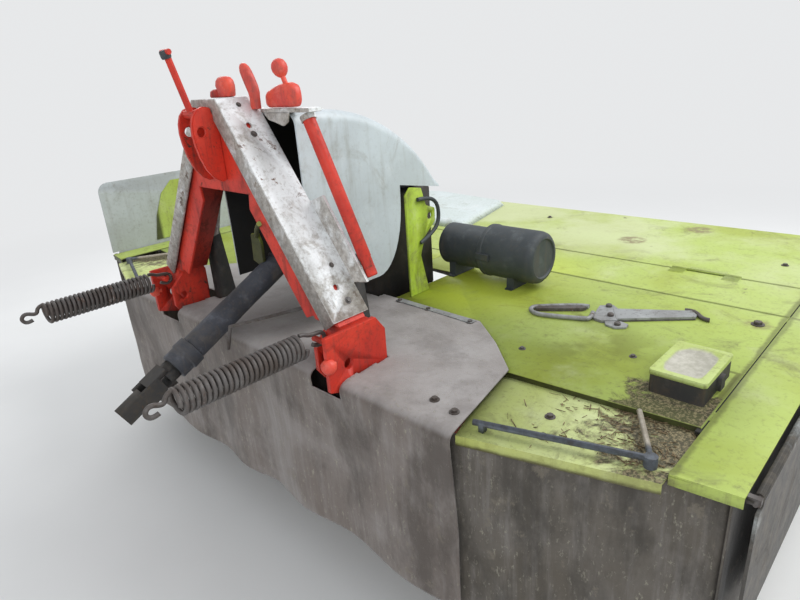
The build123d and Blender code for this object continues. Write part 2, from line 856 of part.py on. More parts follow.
# Canvas: centre sheet over the rear edge, rear skirts, end skirts and front skirt
sheetTop = deckTop + seatGap
edgeY = rearInnerY - 6
edgeX = rearInnerX - 4
topSheet = slab(
    [
        (-clampHalf - 6, clampY + 12),
        (clampHalf + 6, clampY + 12),
        (notchX + 10, notchY + 12),
        (cornerX + 10, cornerY + 4),
        (edgeX, edgeY),
        (-edgeX, edgeY),
        (-cornerX - 10, cornerY + 4),
        (-notchX - 10, notchY + 12),
    ],
    sheetTop,
    sheetTop + canvas,
)
drop = box(-edgeX, edgeX, edgeY - canvas, edgeY, skirtBottom, sheetTop + canvas)
gearHoleHalf = gearCaseHalf + 12
holeTop = sheetTop + canvas + 1
gearHole = box(-gearHoleHalf, gearHoleHalf, gearRear - 14, clampY + 20, sheetTop - 1, holeTop)
footHole = box(
    uprightX - uprightHalf - 8,
    linkPinX + linkSpan / 2 + cheekWall + 8,
    edgeY - canvas - 1,
    uprightRear + 66,
    footBottom - 8,
    holeTop,
)
parts["centre_sheet"] = topSheet + drop - gearHole - joined(both_sides(footHole))
skirtIn = 6.0
rearLine = [
    (rearInnerX + 2, rearInnerY + skirtIn),
    (seamX, rearOuterY + 2 + skirtIn),
    (wingOuterX - 24, wingRearY + skirtIn),
]
rearSkirt = slab(
    rearLine + [(x, y + canvas) for x, y in reversed(rearLine)], skirtBottom, lowerTop - sheet - seatGap
)
endSkirt = box(
    wingOuterX - 16 - canvas,
    wingOuterX - 16,
    wingRearY + 24,
    flapFront - 24,
    skirtBottom,
    flapHingeZ - 7 - seatGap,
)
parts["rear_skirts"] = Compound(children=both_sides(rearSkirt))
parts["end_skirts"] = Compound(children=both_sides(endSkirt))
frontSkirtY = frontEdgeY - sheet - seatGap
parts["front_skirt"] = box(
    4 - seamHalf, seamHalf - 4, frontSkirtY - canvas, frontSkirtY, skirtBottom, deckTop - sheet - seatGap
)

# Clamp strips on the front edge of the centre sheet
clampZ = sheetTop + canvas + seatGap
clamp = slab(
    [
        (domeHalf, clampY + clampDepth / 2),
        (domeHalf, clampY - clampDepth / 2),
        (clampHalf - 4, clampY - clampDepth / 2 - 8),
        (clampHalf, clampY + clampDepth / 2 - 8),
    ],
    clampZ,
    clampZ + 5,
)
parts["clamp_strips"] = Compound(children=both_sides(clamp))

# Knife box on the right deck, with its dished lid on a hinge along its inner side
knifeBox = box(boxX0, boxX1, boxY0, boxY1, deckTop, deckTop + boxHeight)
knifeBox = chamfer(knifeBox.edges().filter_by(Axis.Z), 5)
boxTop = deckTop + boxHeight
boxMiddle = (boxY0 + boxY1) / 2
boxInside = box(
    boxX0 + boxWall, boxX1 - boxWall, boxY0 + boxWall, boxY1 - boxWall, deckTop + boxWall, boxTop + 1
)
catch = box(boxX1, boxX1 + 10, boxMiddle - 14, boxMiddle + 14, deckTop + 8, boxTop - 4)
parts["knife_box"] = knifeBox - boxInside + catch
lidAxisX = boxX0 - 4
lidAxisZ = boxTop + 4
lidBottom = boxTop + lidGap
lid = box(boxX0 - 2, boxX1 + 2, boxY0 - 2, boxY1 + 2, lidBottom, lidBottom + lidHeight)
lid = chamfer(lid.edges().filter_by(Axis.Z), 6)
dishSize = (boxX1 - boxX0 - 2 * lidRim, boxY1 - boxY0 - 2 * lidRim)
dishPlan = Pos((boxX0 + boxX1) / 2, boxMiddle, lidBottom + lidHeight) * Rectangle(*dishSize)
lid = lid - extrude(dishPlan, -lidHeight / 2, taper=45)
lid = lid + bar((lidAxisX, boxY0 + 20, lidAxisZ), (lidAxisX, boxY1 - 20, lidAxisZ), hingeRadius - 1)
parts["knife_box_lid"] = lid

# Document tube on two saddles
tube = bar((tubeRear, tubeY, tubeZ), (tubeStep, tubeY, tubeZ), tubeRadius, tubeSides)
tubeLid = bar((tubeStep, tubeY, tubeZ), (tubeEnd, tubeY, tubeZ), tubeLidRadius, tubeSides)
tubeLid = chamfer(tubeLid.edges().sort_by(Axis.X)[-1], 8)
saddles = []
for x, radius in ((tubeRear + 45, tubeRadius), (tubeEnd - 95, tubeLidRadius)):
    saddles.append(
        box(x - 15, x + 15, tubeY - saddleHalf, tubeY + saddleHalf, deckTop, tubeZ - radius * 0.6)
    )
parts["document_tube"] = joined([tube, tubeLid] + saddles)

# Knife tool lying on the right deck: looped grip, collar, tapered arm with a cross hook
loop = slab([(0, -26), (loopEnd, -26), (loopEnd, 26), (0, 26)], 0, toolThick, 12)
loop = loop - slab([(14, -11), (loopEnd - 20, -11), (loopEnd - 20, 11), (14, 11)], -1, toolThick + 1, 8)
collar = slab([(loopEnd - 4, -30), (collarEnd, -34), (collarEnd, 34), (loopEnd - 4, 30)], 0, toolThick + 9)
toolArm = slab([(collarEnd - 2, -22), (armEnd, -7), (armEnd, 7), (collarEnd - 2, 22)], 0, toolThick - 2)
hookPoints = [(armEnd - 12, -36), (armEnd + 6, -36), (armEnd + 8, 24), (armEnd - 12, 24)]
toolHook = slab(hookPoints, 0, toolThick - 2)
knifeTool = joined([loop, collar, toolArm, toolHook])
parts["knife_tool"] = Pos(toolX, toolY, deckTop) * Rot(0, 0, toolTurn) * knifeTool

# Hold-down rods on the rear decks
rodZ = lowerTop + 18
barStart = Vector(rearInnerX + 16, rearInnerY + 42, rodZ)
barEnd = Vector(seamX - 38, rearOuterY + 22, rodZ)
holdBar = bar(tuple(barStart), tuple(barEnd), rodRadius + 1)
linkBar = bar(tuple(barEnd), (seamX - 121, foldY + 6, rodZ), rodRadius)
knob = bar((barEnd.X, barEnd.Y, lowerTop), (barEnd.X, barEnd.Y, lowerTop + 24), 2 * rodRadius + 1, 12)
lugAt = barStart + (barEnd - barStart) * 0.06
lug = box(lugAt.X - rodRadius, lugAt.X + rodRadius, lugAt.Y - 8, lugAt.Y + 8, lowerTop, rodZ)
parts["hold_down_rods"] = Compound(children=both_sides(joined([holdBar, linkBar, knob, lug])))

# Drive shaft: joint at the gearbox, guard tube with its bell, joint with the splined bore
slope = math.radians(ptoSlope)
ptoTop = Vector(0, stubEnd - yokeReach + 8, inputZ)
ptoDir = Vector(0, -math.cos(slope), -math.sin(slope))


def along_pto(distance):
    at = ptoTop + ptoDir * distance
    return (at.X, at.Y, at.Z)


def yoke(centre, towards, hubLength, turn):
    # A fork round the cross of a joint, with its hub on the side it points to.
    plane = Plane(origin=centre, x_dir=(1, 0, 0), z_dir=towards)
    tine = box(yokeSpan / 2 - yokeWall, yokeSpan / 2, 4 - yokeRadius, yokeRadius - 4, -yokeEye, yokeReach)
    fork = joined(both_sides(tine))
    base = turned([(yokeRadius, yokeReach - 10), (yokeRadius, yokeReach + hubLength)], yokeSides)
    return plane * Rot(0, 0, turn) * (fork + base)


def cross_of(centre, towards, turn):
    plane = Plane(origin=centre, x_dir=(1, 0, 0), z_dir=towards)
    reach = yokeSpan / 2 - 1
    pins = bar((-reach, 0, 0), (reach, 0, 0), crossPin) + bar((0, -reach, 0), (0, reach, 0), crossPin)
    return plane * Rot(0, 0, turn) * pins


frontJoint = yoke(tuple(ptoTop), (0, 1, 0), inputHub, 0) + yoke(tuple(ptoTop), tuple(ptoDir), yokeHub, 90)
frontJoint = frontJoint + cross_of(tuple(ptoTop), tuple(ptoDir), 0)
stubBore = rod((0, gearRear, inputZ), (0, stubEnd - seatGap, inputZ), splineRadius + bearingGap)
frontJoint = frontJoint - stubBore
parts["drive_joint_front"] = frontJoint
guardStart = yokeReach + yokeHub + seatGap
guardTube = bar(along_pto(guardStart), along_pto(ptoLength), guardRadius, turnedSides)
bellPlane = Plane(origin=along_pto(guardStart), x_dir=(1, 0, 0), z_dir=-ptoDir)
bellSteps = [(guardRadius, -20), (bellRadius - 8, 10), (bellRadius, bellLength + 1)]
bellInside = turned([(radius - bellWall, z) for radius, z in bellSteps], turnedSides)
bellInside = bellInside & bore(bellRadius, seatGap, bellLength + 1)
bell = turned(bellSteps[:2] + [(bellRadius, bellLength)], turnedSides)
parts["shaft_guard"] = guardTube + bellPlane * (bell - bellInside)
jointRun = ptoLength + seatGap + yokeReach + yokeHub
jointAt = along_pto(jointRun)
rearJoint = yoke(jointAt, tuple(-ptoDir), yokeHub, 90) + yoke(jointAt, tuple(ptoDir), outputHub, 0)
rearJoint = rearJoint + cross_of(jointAt, tuple(ptoDir), 0)
boreEnd = jointRun + yokeReach + outputHub
boreStart = boreEnd - boreLength
rearJoint = rearJoint - rod(along_pto(boreStart), along_pto(boreEnd + 1), splineRadius)
parts["drive_joint_rear"] = rearJoint

# Parking hook for the shaft, on the right leg of the coupler
hookIn = cIn + couplerWidth
tab = leg_bar(-14, 14, hookIn + seatGap, hookIn + 7, hookRun, hookRun + 28)
start = tab.center()
hookRodShape = bent_bar([(start.X, start.Y, start.Z), hookKnee, hookTip], hookRod)
parts["shaft_hook"] = tab + hookRodShape

# Relief springs: close-wound rings, an eye on the coupler's pin and a hook at the free end
ringPitch = springLength / springRings
ringSteps = []
for i in range(springRings):
    ringSteps.append((springCore, i * ringPitch))
    ringSteps.append((springRadius, (i + 0.5) * ringPitch))
ringSteps.append((springCore, springLength))
coilStart = springFront - springGap
coilEnd = coilStart - springLength
coil = Plane(origin=(springX, coilStart, springZ), z_dir=(0, -1, 0)) * turned(ringSteps, springSides)
hook = bar((springX, coilEnd + 1, springZ), (springX, coilEnd - springHook, springZ), springWire)
springEye = side_plate(
    [
        (coilStart - 1, springZ - 14),
        (springFront + 22, springZ - 20),
        (springFront + 22, springZ + 20),
        (coilStart - 1, springZ + 14),
    ],
    springX - 5,
    springX + 5,
)
pinStart = (springX - 6, springFront, springZ)
pinHole = rod(pinStart, (springX + 6, springFront, springZ), springPin + bearingGap)
spring = coil + hook + springEye - pinHole
parts["relief_spring_right"] = spring
parts["relief_spring_left"] = mirror(spring, about=Plane.YZ)

# Write the pieces about the bottom centre of the whole box
os.makedirs("parts", exist_ok=True)
solids = []
for shape in parts.values():
    solids.extend(shape.solids())
span = Compound(children=solids).bounding_box()
origin = Vector((span.min.X + span.max.X) / 2, (span.min.Y + span.max.Y) / 2, span.min.Z)
for node, shape in parts.items():
    piece = Compound([solid.moved(Location(-origin)) for solid in shape.solids()])
    export_step(piece, "parts/" + node + ".step")
print("origin", origin, "size", span.size)
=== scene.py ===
import bmesh
import bpy
import json
import math
from mathutils import Matrix, Vector, noise


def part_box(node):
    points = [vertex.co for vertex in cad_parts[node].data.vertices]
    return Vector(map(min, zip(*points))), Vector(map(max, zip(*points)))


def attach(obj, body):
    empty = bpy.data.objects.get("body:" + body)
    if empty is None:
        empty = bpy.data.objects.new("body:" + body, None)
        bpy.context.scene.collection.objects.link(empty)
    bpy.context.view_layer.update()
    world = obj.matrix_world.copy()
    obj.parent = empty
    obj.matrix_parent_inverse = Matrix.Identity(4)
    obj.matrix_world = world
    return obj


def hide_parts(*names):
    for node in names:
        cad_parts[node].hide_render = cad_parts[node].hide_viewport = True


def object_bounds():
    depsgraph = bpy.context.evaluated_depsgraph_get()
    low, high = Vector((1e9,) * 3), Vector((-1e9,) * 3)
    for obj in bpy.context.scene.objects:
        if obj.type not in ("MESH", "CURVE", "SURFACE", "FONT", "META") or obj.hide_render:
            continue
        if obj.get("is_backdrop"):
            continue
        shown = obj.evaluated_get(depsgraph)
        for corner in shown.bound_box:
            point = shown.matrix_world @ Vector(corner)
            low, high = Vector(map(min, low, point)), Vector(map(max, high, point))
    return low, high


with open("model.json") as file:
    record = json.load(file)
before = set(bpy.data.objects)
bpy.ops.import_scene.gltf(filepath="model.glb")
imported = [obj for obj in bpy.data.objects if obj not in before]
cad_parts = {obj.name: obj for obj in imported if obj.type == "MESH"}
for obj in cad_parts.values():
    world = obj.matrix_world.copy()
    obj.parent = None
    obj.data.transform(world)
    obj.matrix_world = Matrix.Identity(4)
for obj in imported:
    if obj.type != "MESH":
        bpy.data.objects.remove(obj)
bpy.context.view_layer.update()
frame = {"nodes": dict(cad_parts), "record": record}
nodes = frame["nodes"]
bodyOf = {name: body for body, names in frame["record"]["behaviour"]["bodies"].items() for name in names}
bothSides = ((1, "right"), (-1, "left"))

# Places are written in metres from the hitch plane, and moved to the frame by the gear beam's place.
beamMiddleY = 0.560
beamLow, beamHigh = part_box("gear_beam")
hitchShift = Vector((0.0, beamMiddleY - (beamLow.y + beamHigh.y) / 2, 0.0))


def at(x, y, z):
    return Vector((x, y, z)) - hitchShift


print("frame loaded")


# Shader and geometry trees
def node(tree, kind, inputs=None, **settings):
    made = tree.nodes.new(kind)
    for name, value in settings.items():
        setattr(made, name, value)
    for key, value in (inputs or {}).items():
        slot = made.inputs[key]
        if isinstance(value, Socket):
            tree.links.new(value.out, slot)
        elif isinstance(value, bpy.types.NodeSocket):
            tree.links.new(value, slot)
        else:
            slot.default_value = value
    return made


class Socket:
    def __init__(self, tree, out):
        self.tree = tree
        self.out = out

    def maths(self, operation, *others):
        inputs = {0: self}
        for place, other in enumerate(others):
            inputs[place + 1] = other
        made = node(self.tree, "ShaderNodeMath", inputs, operation=operation)
        return Socket(self.tree, made.outputs[0])

    def __add__(self, other):
        return self.maths("ADD", other)

    def __sub__(self, other):
        return self.maths("SUBTRACT", other)

    def __mul__(self, other):
        return self.maths("MULTIPLY", other)

    def __truediv__(self, other):
        return self.maths("DIVIDE", other)

    def __pow__(self, other):
        return self.maths("POWER", other)

    def __rsub__(self, other):
        return (self * -1.0) + other

    def __radd__(self, other):
        return self.maths("ADD", other)

    def size(self):
        return self.maths("ABSOLUTE")

    def lower(self, other):
        return self.maths("MINIMUM", other)

    def higher(self, other):
        return self.maths("MAXIMUM", other)

    def step(self, low, high):
        # Grows smoothly from 0 at low to 1 at high.
        made = node(self.tree, "ShaderNodeMapRange",
                    {"Value": self, "From Min": low, "From Max": high, "To Min": 0.0, "To Max": 1.0},
                    interpolation_type="SMOOTHSTEP")
        return Socket(self.tree, made.outputs["Result"])


grains = {
    # scale (one, or one for each axis), detail, roughness, twist, and the ends of its rise from 0 to 1
    "patches": (1.0, 5.0, 0.6, 0.4, 0.38, 0.66),
    "chalk": (3.1, 6.0, 0.65, 0.0, 0.5, 0.78),
    "streaks": ((38.0, 38.0, 3.0), 5.0, 0.62, 0.0, 0.5, 0.74),
    "grime": (7.5, 7.0, 0.7, 0.8, 0.52, 0.7),
    "fine": (85.0, 6.0, 0.7, 0.0, 0.5, 0.72),
    "worn": (24.0, 8.0, 0.72, 0.3),
    "wornPlaces": (3.3, 2.0, 0.55, 0.0, 0.42, 0.62),
    "skin": (210.0, 3.0, 0.55, 0.0),
    "ragged": (34.0, 6.0, 0.7, 0.0, 0.34, 0.58),
    "paleClouds": (1.6, 5.0, 0.6, 0.0, 0.36, 0.6),
    "paintedLightBreaks": (9.0, 5.0, 0.6, 0.0, 0.5, 0.7),
    "oliveClouds": (6.0, 5.0, 0.6, 0.0, 0.38, 0.56),
    "seamWaver": (22.0, 4.0, 0.6, 0.0),
    "wingWaver": (18.0, 5.0, 0.65, 0.0),
    "pits": (120.0, 5.0, 0.75, 0.0, 0.66, 0.72),
    "boxSeam": (40.0, 3.0, 0.55, 0.0),
    "upperHeap": (15.0, 7.0, 0.72, 0.5),
    "lowerHeap": (13.0, 7.0, 0.72, 0.5),
    "chaffBits": ((190.0, 150.0, 60.0), 4.0, 0.7, 0.0, 0.46, 0.60),
    "foldShadeTone": (50.0, 5.0, 0.55, 0.0),
    "lipTone": (7.0, 5.0, 0.65, 0.0),
    "lipWaver": (30.0, 5.0, 0.7, 0.0),
    "dishWaver": (30.0, 4.0, 0.55, 0.0),
    "dust": (60.0, 5.0, 0.7, 0.0, 0.35, 0.65),
    "channelDirt": (16.0, 7.0, 0.7, 0.4),
    "channelTone": (70.0, 5.0, 0.7, 0.0, 0.4, 0.62),
    "flapDark": (5.0, 7.0, 0.7, 0.6),
    "flapDarkTone": (28.0, 5.0, 0.7, 0.0, 0.4, 0.66),
    "clothClouds": (3.4, 6.0, 0.65, 0.5, 0.36, 0.68),
    "clothRuns": ((46.0, 46.0, 3.2), 6.0, 0.66, 0.0, 0.42, 0.74),
    "clothSpecks": ((105.0, 105.0, 46.0), 5.0, 0.72, 0.0, 0.57, 0.67),
    "clothDamp": ((6.0, 6.0, 2.6), 6.0, 0.66, 0.0, 0.44, 0.66),
    "clothClods": ((22.0, 22.0, 16.0), 6.0, 0.72, 0.0, 0.58, 0.68),
    "clothSkin": (60.0, 4.0, 0.55, 0.0),
    "strawTone": (160.0, 2.0, 0.55, 0.0, 0.35, 0.7),
    "floorTone": (0.7, 4.0, 0.55, 0.0, 0.35, 0.7),
    "floorSkin": (3.0, 4.0, 0.55, 0.0),
}


class Surface:
    # One material being built: its tree, its shader and what reads the place on the object.
    def __init__(self, name):
        self.material = bpy.data.materials.new(name)
        self.material.use_nodes = True
        self.tree = self.material.node_tree
        self.shader = self.tree.nodes["Principled BSDF"]
        coordinates = node(self.tree, "ShaderNodeTexCoord")
        self.place = Socket(self.tree, coordinates.outputs["Object"])
        self.x, self.y, self.z = self.parts(coordinates.outputs["Object"])
        geometry = node(self.tree, "ShaderNodeNewGeometry")
        _, north, self.up = self.parts(geometry.outputs["Normal"])
        self.back = north * -1.0
        self.u, self.v, _ = self.parts(coordinates.outputs["UV"])

    def parts(self, vector):
        split = node(self.tree, "ShaderNodeSeparateXYZ", {0: vector})
        return [Socket(self.tree, out) for out in split.outputs]

    def grain(self, name, finer=1.0):
        scale, detail, rough, twist, *edges = grains[name]
        place = self.place
        if isinstance(scale, tuple):
            stretch = {0: place, 1: scale}
            place = node(self.tree, "ShaderNodeVectorMath", stretch, operation="MULTIPLY").outputs[0]
            scale = 1.0
        made = node(self.tree, "ShaderNodeTexNoise",
                    {"Vector": place, "Scale": scale * finer, "Detail": detail, "Roughness": rough,
                     "Distortion": twist})
        value = Socket(self.tree, made.outputs["Fac"])
        return value.step(*edges) if edges else value

    def ahead(self, start, end):
        # Grows from 0 to 1 between two distances from the hitch plane.
        return self.y.step(start - hitchShift.y, end - hitchShift.y)

    def fromPoint(self, x, y):
        return self.x - x, self.y - (y - hitchShift.y)

    def spot(self, x, y, radius, soft):
        # A round mark on a level face.
        dx, dy = self.fromPoint(x, y)
        away = (dx * dx + dy * dy) ** 0.5
        return 1.0 - away.step(radius - soft, radius + soft)

    def mix(self, share, first, second):
        made = node(self.tree, "ShaderNodeMix", {"Factor": share}, data_type="RGBA")
        for slot, value in ((made.inputs[6], first), (made.inputs[7], second)):
            if isinstance(value, Socket):
                self.tree.links.new(value.out, slot)
            else:
                slot.default_value = (*value, 1.0)
        return Socket(self.tree, made.outputs[2])

    def colour(self, value):
        self.tree.links.new(value.out, self.shader.inputs["Base Color"])

    def rough(self, value):
        self.tree.links.new(value.out, self.shader.inputs["Roughness"])

    def bump(self, height, depth):
        made = node(self.tree, "ShaderNodeBump", {"Height": height, "Distance": depth})
        self.tree.links.new(made.outputs[0], self.shader.inputs["Normal"])


# Worn paint: two tones in patches, chalky fading, dust, streaks on steep faces, chips with rusty edges
limeLook = {
    "base": (0.40, 0.50, 0.115),
    "second": (0.33, 0.395, 0.055),
    "patchScale": 2.2,
    "chalk": (0.50, 0.555, 0.27),
    "chalkShare": 0.6,
    "dirt": (0.15, 0.135, 0.065),
    "grimeShare": 0.5,
    "streakShare": 0.6,
    "fineShare": 0.38,
    "dirtMost": 0.95,
    "steepUntil": (0.2, 0.7),
    "rust": (0.16, 0.12, 0.05),
    "rustEdge": 0.035,
    "metal": (0.08, 0.07, 0.045),
    "chipAt": 0.70,
    "chipEdge": 0.02,
    "rough": 0.5,
    "dirtRough": 0.3,
    "rustRough": 0.25,
    "roughMost": 0.95,
    "depth": 0.0006,
    "skinDepth": 0.35,
    "chipDepth": 0.6,
    "grimeDepth": 0.4,
    "shine": 0.42,
}


def paint(name, look, marks=None):
    s = Surface(name)
    colour = s.mix(s.grain("patches", look["patchScale"]), look["base"], look["second"])
    colour = s.mix(s.grain("chalk", look["patchScale"]) * look["chalkShare"], colour, look["chalk"])
    streaks = s.grain("streaks") * look["streakShare"]
    grime = s.grain("grime") * look["grimeShare"]
    fine = s.grain("fine") * look["fineShare"]
    steep = 1.0 - s.up.step(*look["steepUntil"])
    dirty = (grime + streaks * steep + fine).lower(look["dirtMost"])
    colour = s.mix(dirty, colour, look["dirt"])
    worn, where, chipAt = s.grain("worn"), s.grain("wornPlaces"), look["chipAt"]
    rust = worn.step(chipAt - look["rustEdge"], chipAt) * where
    chips = worn.step(chipAt, chipAt + look["chipEdge"]) * where
    colour = s.mix(rust, colour, look["rust"])
    colour = s.mix(chips, colour, look["metal"])
    if marks:
        colour = marks(s, colour)
    s.colour(colour)
    s.rough((look["rough"] + dirty * look["dirtRough"] + rust * look["rustRough"]).lower(look["roughMost"]))
    height = s.grain("skin") * look["skinDepth"] - chips * look["chipDepth"] + grime * look["grimeDepth"]
    s.bump(height, look["depth"])
    s.shader.inputs["Specular IOR Level"].default_value = look["shine"]
    return s.material


# Marks on the upper decks: round worn marks, pale front, a painted patch of light by the dome, soil at seams
# and knife box, painted shade on the step's steep faces
boxPlace = (1.119, 0.410)
levelFace = (0.5, 0.9)
soilFace = (0.4, 0.8)
soil = (0.036, 0.026, 0.016)
chaffColour = (0.23, 0.18, 0.105)
seamSoil = (0.115, 0.125, 0.030)
deckLook = {
    # x, y, radius
    "spots": [(0.532, 1.446, 0.052), (0.703, 1.723, 0.050), (1.149, 0.833, 0.030)],
    "spotEdge": 0.014,
    "spotShare": 0.85,
    "spotColour": (0.20, 0.15, 0.075),
    "pale": (0.56, 0.60, 0.36),
    "paleFrom": (0.75, 1.5),
    "paleShare": 0.7,
    # Painted light: a brighter, more saturated patch by the dome, where the dome shades the deck
    "paintedLight": (0.62, 0.72, 0.045),
    "paintedLightPlace": (0.26, 0.72, 0.30, 0.22),
    "paintedLightShare": 0.75,
    "paintedLightBreak": 0.5,
    "olive": (0.20, 0.235, 0.035),
    "olivePlace": (0.86, 0.47, 0.13, 0.10),
    "oliveShare": 0.8,
    "seams": [0.928, 1.187],
    "seamWaver": 0.008,
    "seamEdge": (0.0, 0.006),
    "seamShare": 0.75,
    "wingSeam": 1.203,
    "wingWaver": 0.022,
    "wingEdge": (-0.004, 0.006),
    "wingShare": 0.7,
    "pitShare": 0.6,
    "boxHalf": (0.072, 0.108),
    "boxEdge": (0.0025, 0.0075),
    "boxShare": 0.8,
    "boxTone": (0.6, 0.4),
    "boxColour": (0.10, 0.10, 0.02),
    "heapX": (0.96, 1.10),
    "heapY": (0.30, 0.44),
    "heapGain": 0.42,
    "heapEdge": (0.62, 0.76),
    "heapEnd": (1.197, 1.199),
    "heapShare": 0.92,
    # Painted shade on the steep faces of the step under the fold
    "foldFace": (0.05, 0.6),
    "foldY": (0.32, 0.34),
    "foldShadeTone": (0.8, 0.2),
    "foldShade": (0.016, 0.014, 0.007),
}


def chaffOn(s):
    return s.mix(s.grain("chaffBits"), soil, chaffColour)


def deckMarks(s, colour):
    look = deckLook
    level = s.up.step(*levelFace)
    pale = s.ahead(*look["paleFrom"]) * s.grain("paleClouds") * look["paleShare"]
    colour = s.mix(pale, colour, look["pale"])
    # Painted light: the deck by the dome is brightened, standing in for light falling there
    whole = 1.0 - s.grain("paintedLightBreaks") * look["paintedLightBreak"]
    paintedLight = s.spot(*look["paintedLightPlace"]) * look["paintedLightShare"] * whole
    colour = s.mix(paintedLight, colour, look["paintedLight"])
    for line in look["seams"]:
        near = s.fromPoint(0.0, line)[1].size() - s.grain("seamWaver") * look["seamWaver"]
        colour = s.mix((1.0 - near.step(*look["seamEdge"])) * level * look["seamShare"], colour, seamSoil)
    beside = (s.x.size() - look["wingSeam"]).size() - s.grain("wingWaver") * look["wingWaver"]
    colour = s.mix((1.0 - beside.step(*look["wingEdge"])) * level * look["wingShare"], colour, seamSoil)
    olive = s.spot(*look["olivePlace"]) * s.grain("oliveClouds") * look["oliveShare"]
    colour = s.mix(olive, colour, look["olive"])
    for x, y, radius in look["spots"]:
        mark = s.spot(x, y, radius, look["spotEdge"]) * s.grain("ragged") * look["spotShare"]
        colour = s.mix(mark, colour, look["spotColour"])
    colour = s.mix(s.grain("pits") * look["pitShare"], colour, look["spotColour"])
    across, ahead = (away.size() - half for away, half in zip(s.fromPoint(*boxPlace), look["boxHalf"]))
    gap = 1.0 - across.higher(ahead).size().step(*look["boxEdge"])
    tone = s.grain("boxSeam") * look["boxTone"][1] + look["boxTone"][0]
    colour = s.mix(gap * tone * level * look["boxShare"], colour, look["boxColour"])
    near = s.x.step(*look["heapX"]) * (1.0 - s.ahead(*look["heapY"]))
    inside = 1.0 - s.x.step(*look["heapEnd"])
    heap = (s.grain("upperHeap") + near * look["heapGain"]).step(*look["heapEdge"])
    colour = s.mix(heap * s.up.step(*soilFace) * inside * look["heapShare"], colour, chaffOn(s))
    # Painted shade: the step's steep faces under the fold are darkened nearly to black
    fold = (1.0 - s.up.step(*look["foldFace"])) * (1.0 - s.ahead(*look["foldY"])) * inside
    tone = s.grain("foldShadeTone") * look["foldShadeTone"][1] + look["foldShadeTone"][0]
    return s.mix(fold * tone, colour, look["foldShade"])


# Rear decks: soil and chaff thickest by the wing, the lip's steep face mixed toward olive as painted shade,
# and darker along its lower edge
lowerLook = {
    "sideX": (0.90, 1.15),
    "aheadY": (-0.02, 0.24),
    "heapTone": (0.35, 0.65),
    "heapGain": 0.34,
    "heapEdge": (0.60, 0.76),
    "heapShare": 0.92,
    # Painted shade on the lip's steep face, then the darker band along its lower edge
    "lip": (0.30, 0.31, 0.035),
    "lipFace": (0.2, 0.7),
    "lipTone": (0.55, 0.5),
    "lipShare": 0.55,
    "lipLowEdge": (0.060, 0.045, 0.022),
    "lipEdge": (0.7275, 0.7375),
    "lipWaver": 0.012,
    "lipLowEdgeShare": 0.85,
    "stain": (0.19, 0.185, 0.07),
    "stainGain": 0.28,
    "stainEdge": (0.52, 0.74),
    "stainStart": (0.0, 0.3),
    "stainShare": 0.5,
}


def lowerMarks(s, colour):
    look = lowerLook
    byDepth = s.ahead(*look["aheadY"]) * look["heapTone"][1] + look["heapTone"][0]
    heap = s.x.size().step(*look["sideX"]) * byDepth
    ragged = s.grain("lowerHeap")
    lying = (ragged + heap * look["heapGain"]).step(*look["heapEdge"]) * s.up.step(*soilFace)
    stain = (ragged + heap * look["stainGain"]).step(*look["stainEdge"])
    tone = s.grain("lipTone") * look["lipTone"][1] + look["lipTone"][0]
    # Painted shade: the lip's steep faces are mixed toward olive
    lip = (1.0 - s.up.step(*look["lipFace"])) * tone
    colour = s.mix(lip * look["lipShare"], colour, look["lip"])
    # Darker along the lip's lower edge
    edge = 1.0 - (s.z + s.grain("lipWaver") * look["lipWaver"]).step(*look["lipEdge"])
    colour = s.mix(edge * look["lipLowEdgeShare"], colour, look["lipLowEdge"])
    colour = s.mix(stain * look["stainShare"] * heap.step(*look["stainStart"]), colour, look["stain"])
    return s.mix(lying * look["heapShare"], colour, chaffOn(s))


# Dust in the dish of the knife box's lid
lidLook = {
    "half": (0.046, 0.074),
    "corner": 4.0,
    "waver": 0.5,
    "edge": (0.85, 1.35),
    "face": (0.3, 0.8),
    "share": 0.9,
    "dust": ((0.36, 0.335, 0.30), (0.50, 0.47, 0.43)),
}


def lidMarks(s, colour):
    look = lidLook
    across, ahead = ((away.size() / half) ** look["corner"]
                     for away, half in zip(s.fromPoint(*boxPlace), look["half"]))
    inside = 1.0 - (across + ahead + s.grain("dishWaver") * look["waver"]).step(*look["edge"])
    dust = s.mix(s.grain("dust"), *look["dust"])
    return s.mix(inside * s.up.step(*look["face"]) * look["share"], colour, dust)


# Hold-down rods: the short link is pale, the long bar has blue-grey patches as a painted bluish sheen
rodLook = {
    "linkY": (0.105, 0.125),
    "linkShare": 0.95,
    "barShare": 0.6,
    "bar": (0.13, 0.155, 0.19),
    "link": ((0.30, 0.26, 0.20), (0.42, 0.38, 0.31)),
}


def rodMarks(s, colour):
    look = rodLook
    dust = s.grain("dust")
    # Painted sheen: blue-grey patches on the long bar
    bar = s.mix(dust * look["barShare"], colour, look["bar"])
    return s.mix(s.ahead(*look["linkY"]) * look["linkShare"], bar, s.mix(dust, *look["link"]))


# White channels: dirt in patches, painted shade on rear faces and inner faces, and darker lower down
channelLook = {
    "rearFace": (0.3, 0.8),
    "innerFace": (-0.3, 0.1),
    "lowZ": (0.92, 1.10),
    "faceShadeGain": 0.22,
    "lowGain": 0.10,
    "edge": (0.50, 0.72),
    "share": 0.8,
    "dirt": ((0.20, 0.165, 0.13), (0.40, 0.365, 0.32)),
}


def whiteMarks(s, colour):
    look = channelLook
    # Painted shade: rear faces and downward faces are pushed toward the darker mix
    behind = (s.back.step(*look["rearFace"]) + (1.0 - s.up.step(*look["innerFace"]))).lower(1.0)
    low = 1.0 - s.z.step(*look["lowZ"])
    dirty = (s.grain("channelDirt") + behind * look["faceShadeGain"] + low * look["lowGain"]).step(*look["edge"])
    return s.mix(dirty * look["share"], colour, s.mix(s.grain("channelTone"), *look["dirt"]))


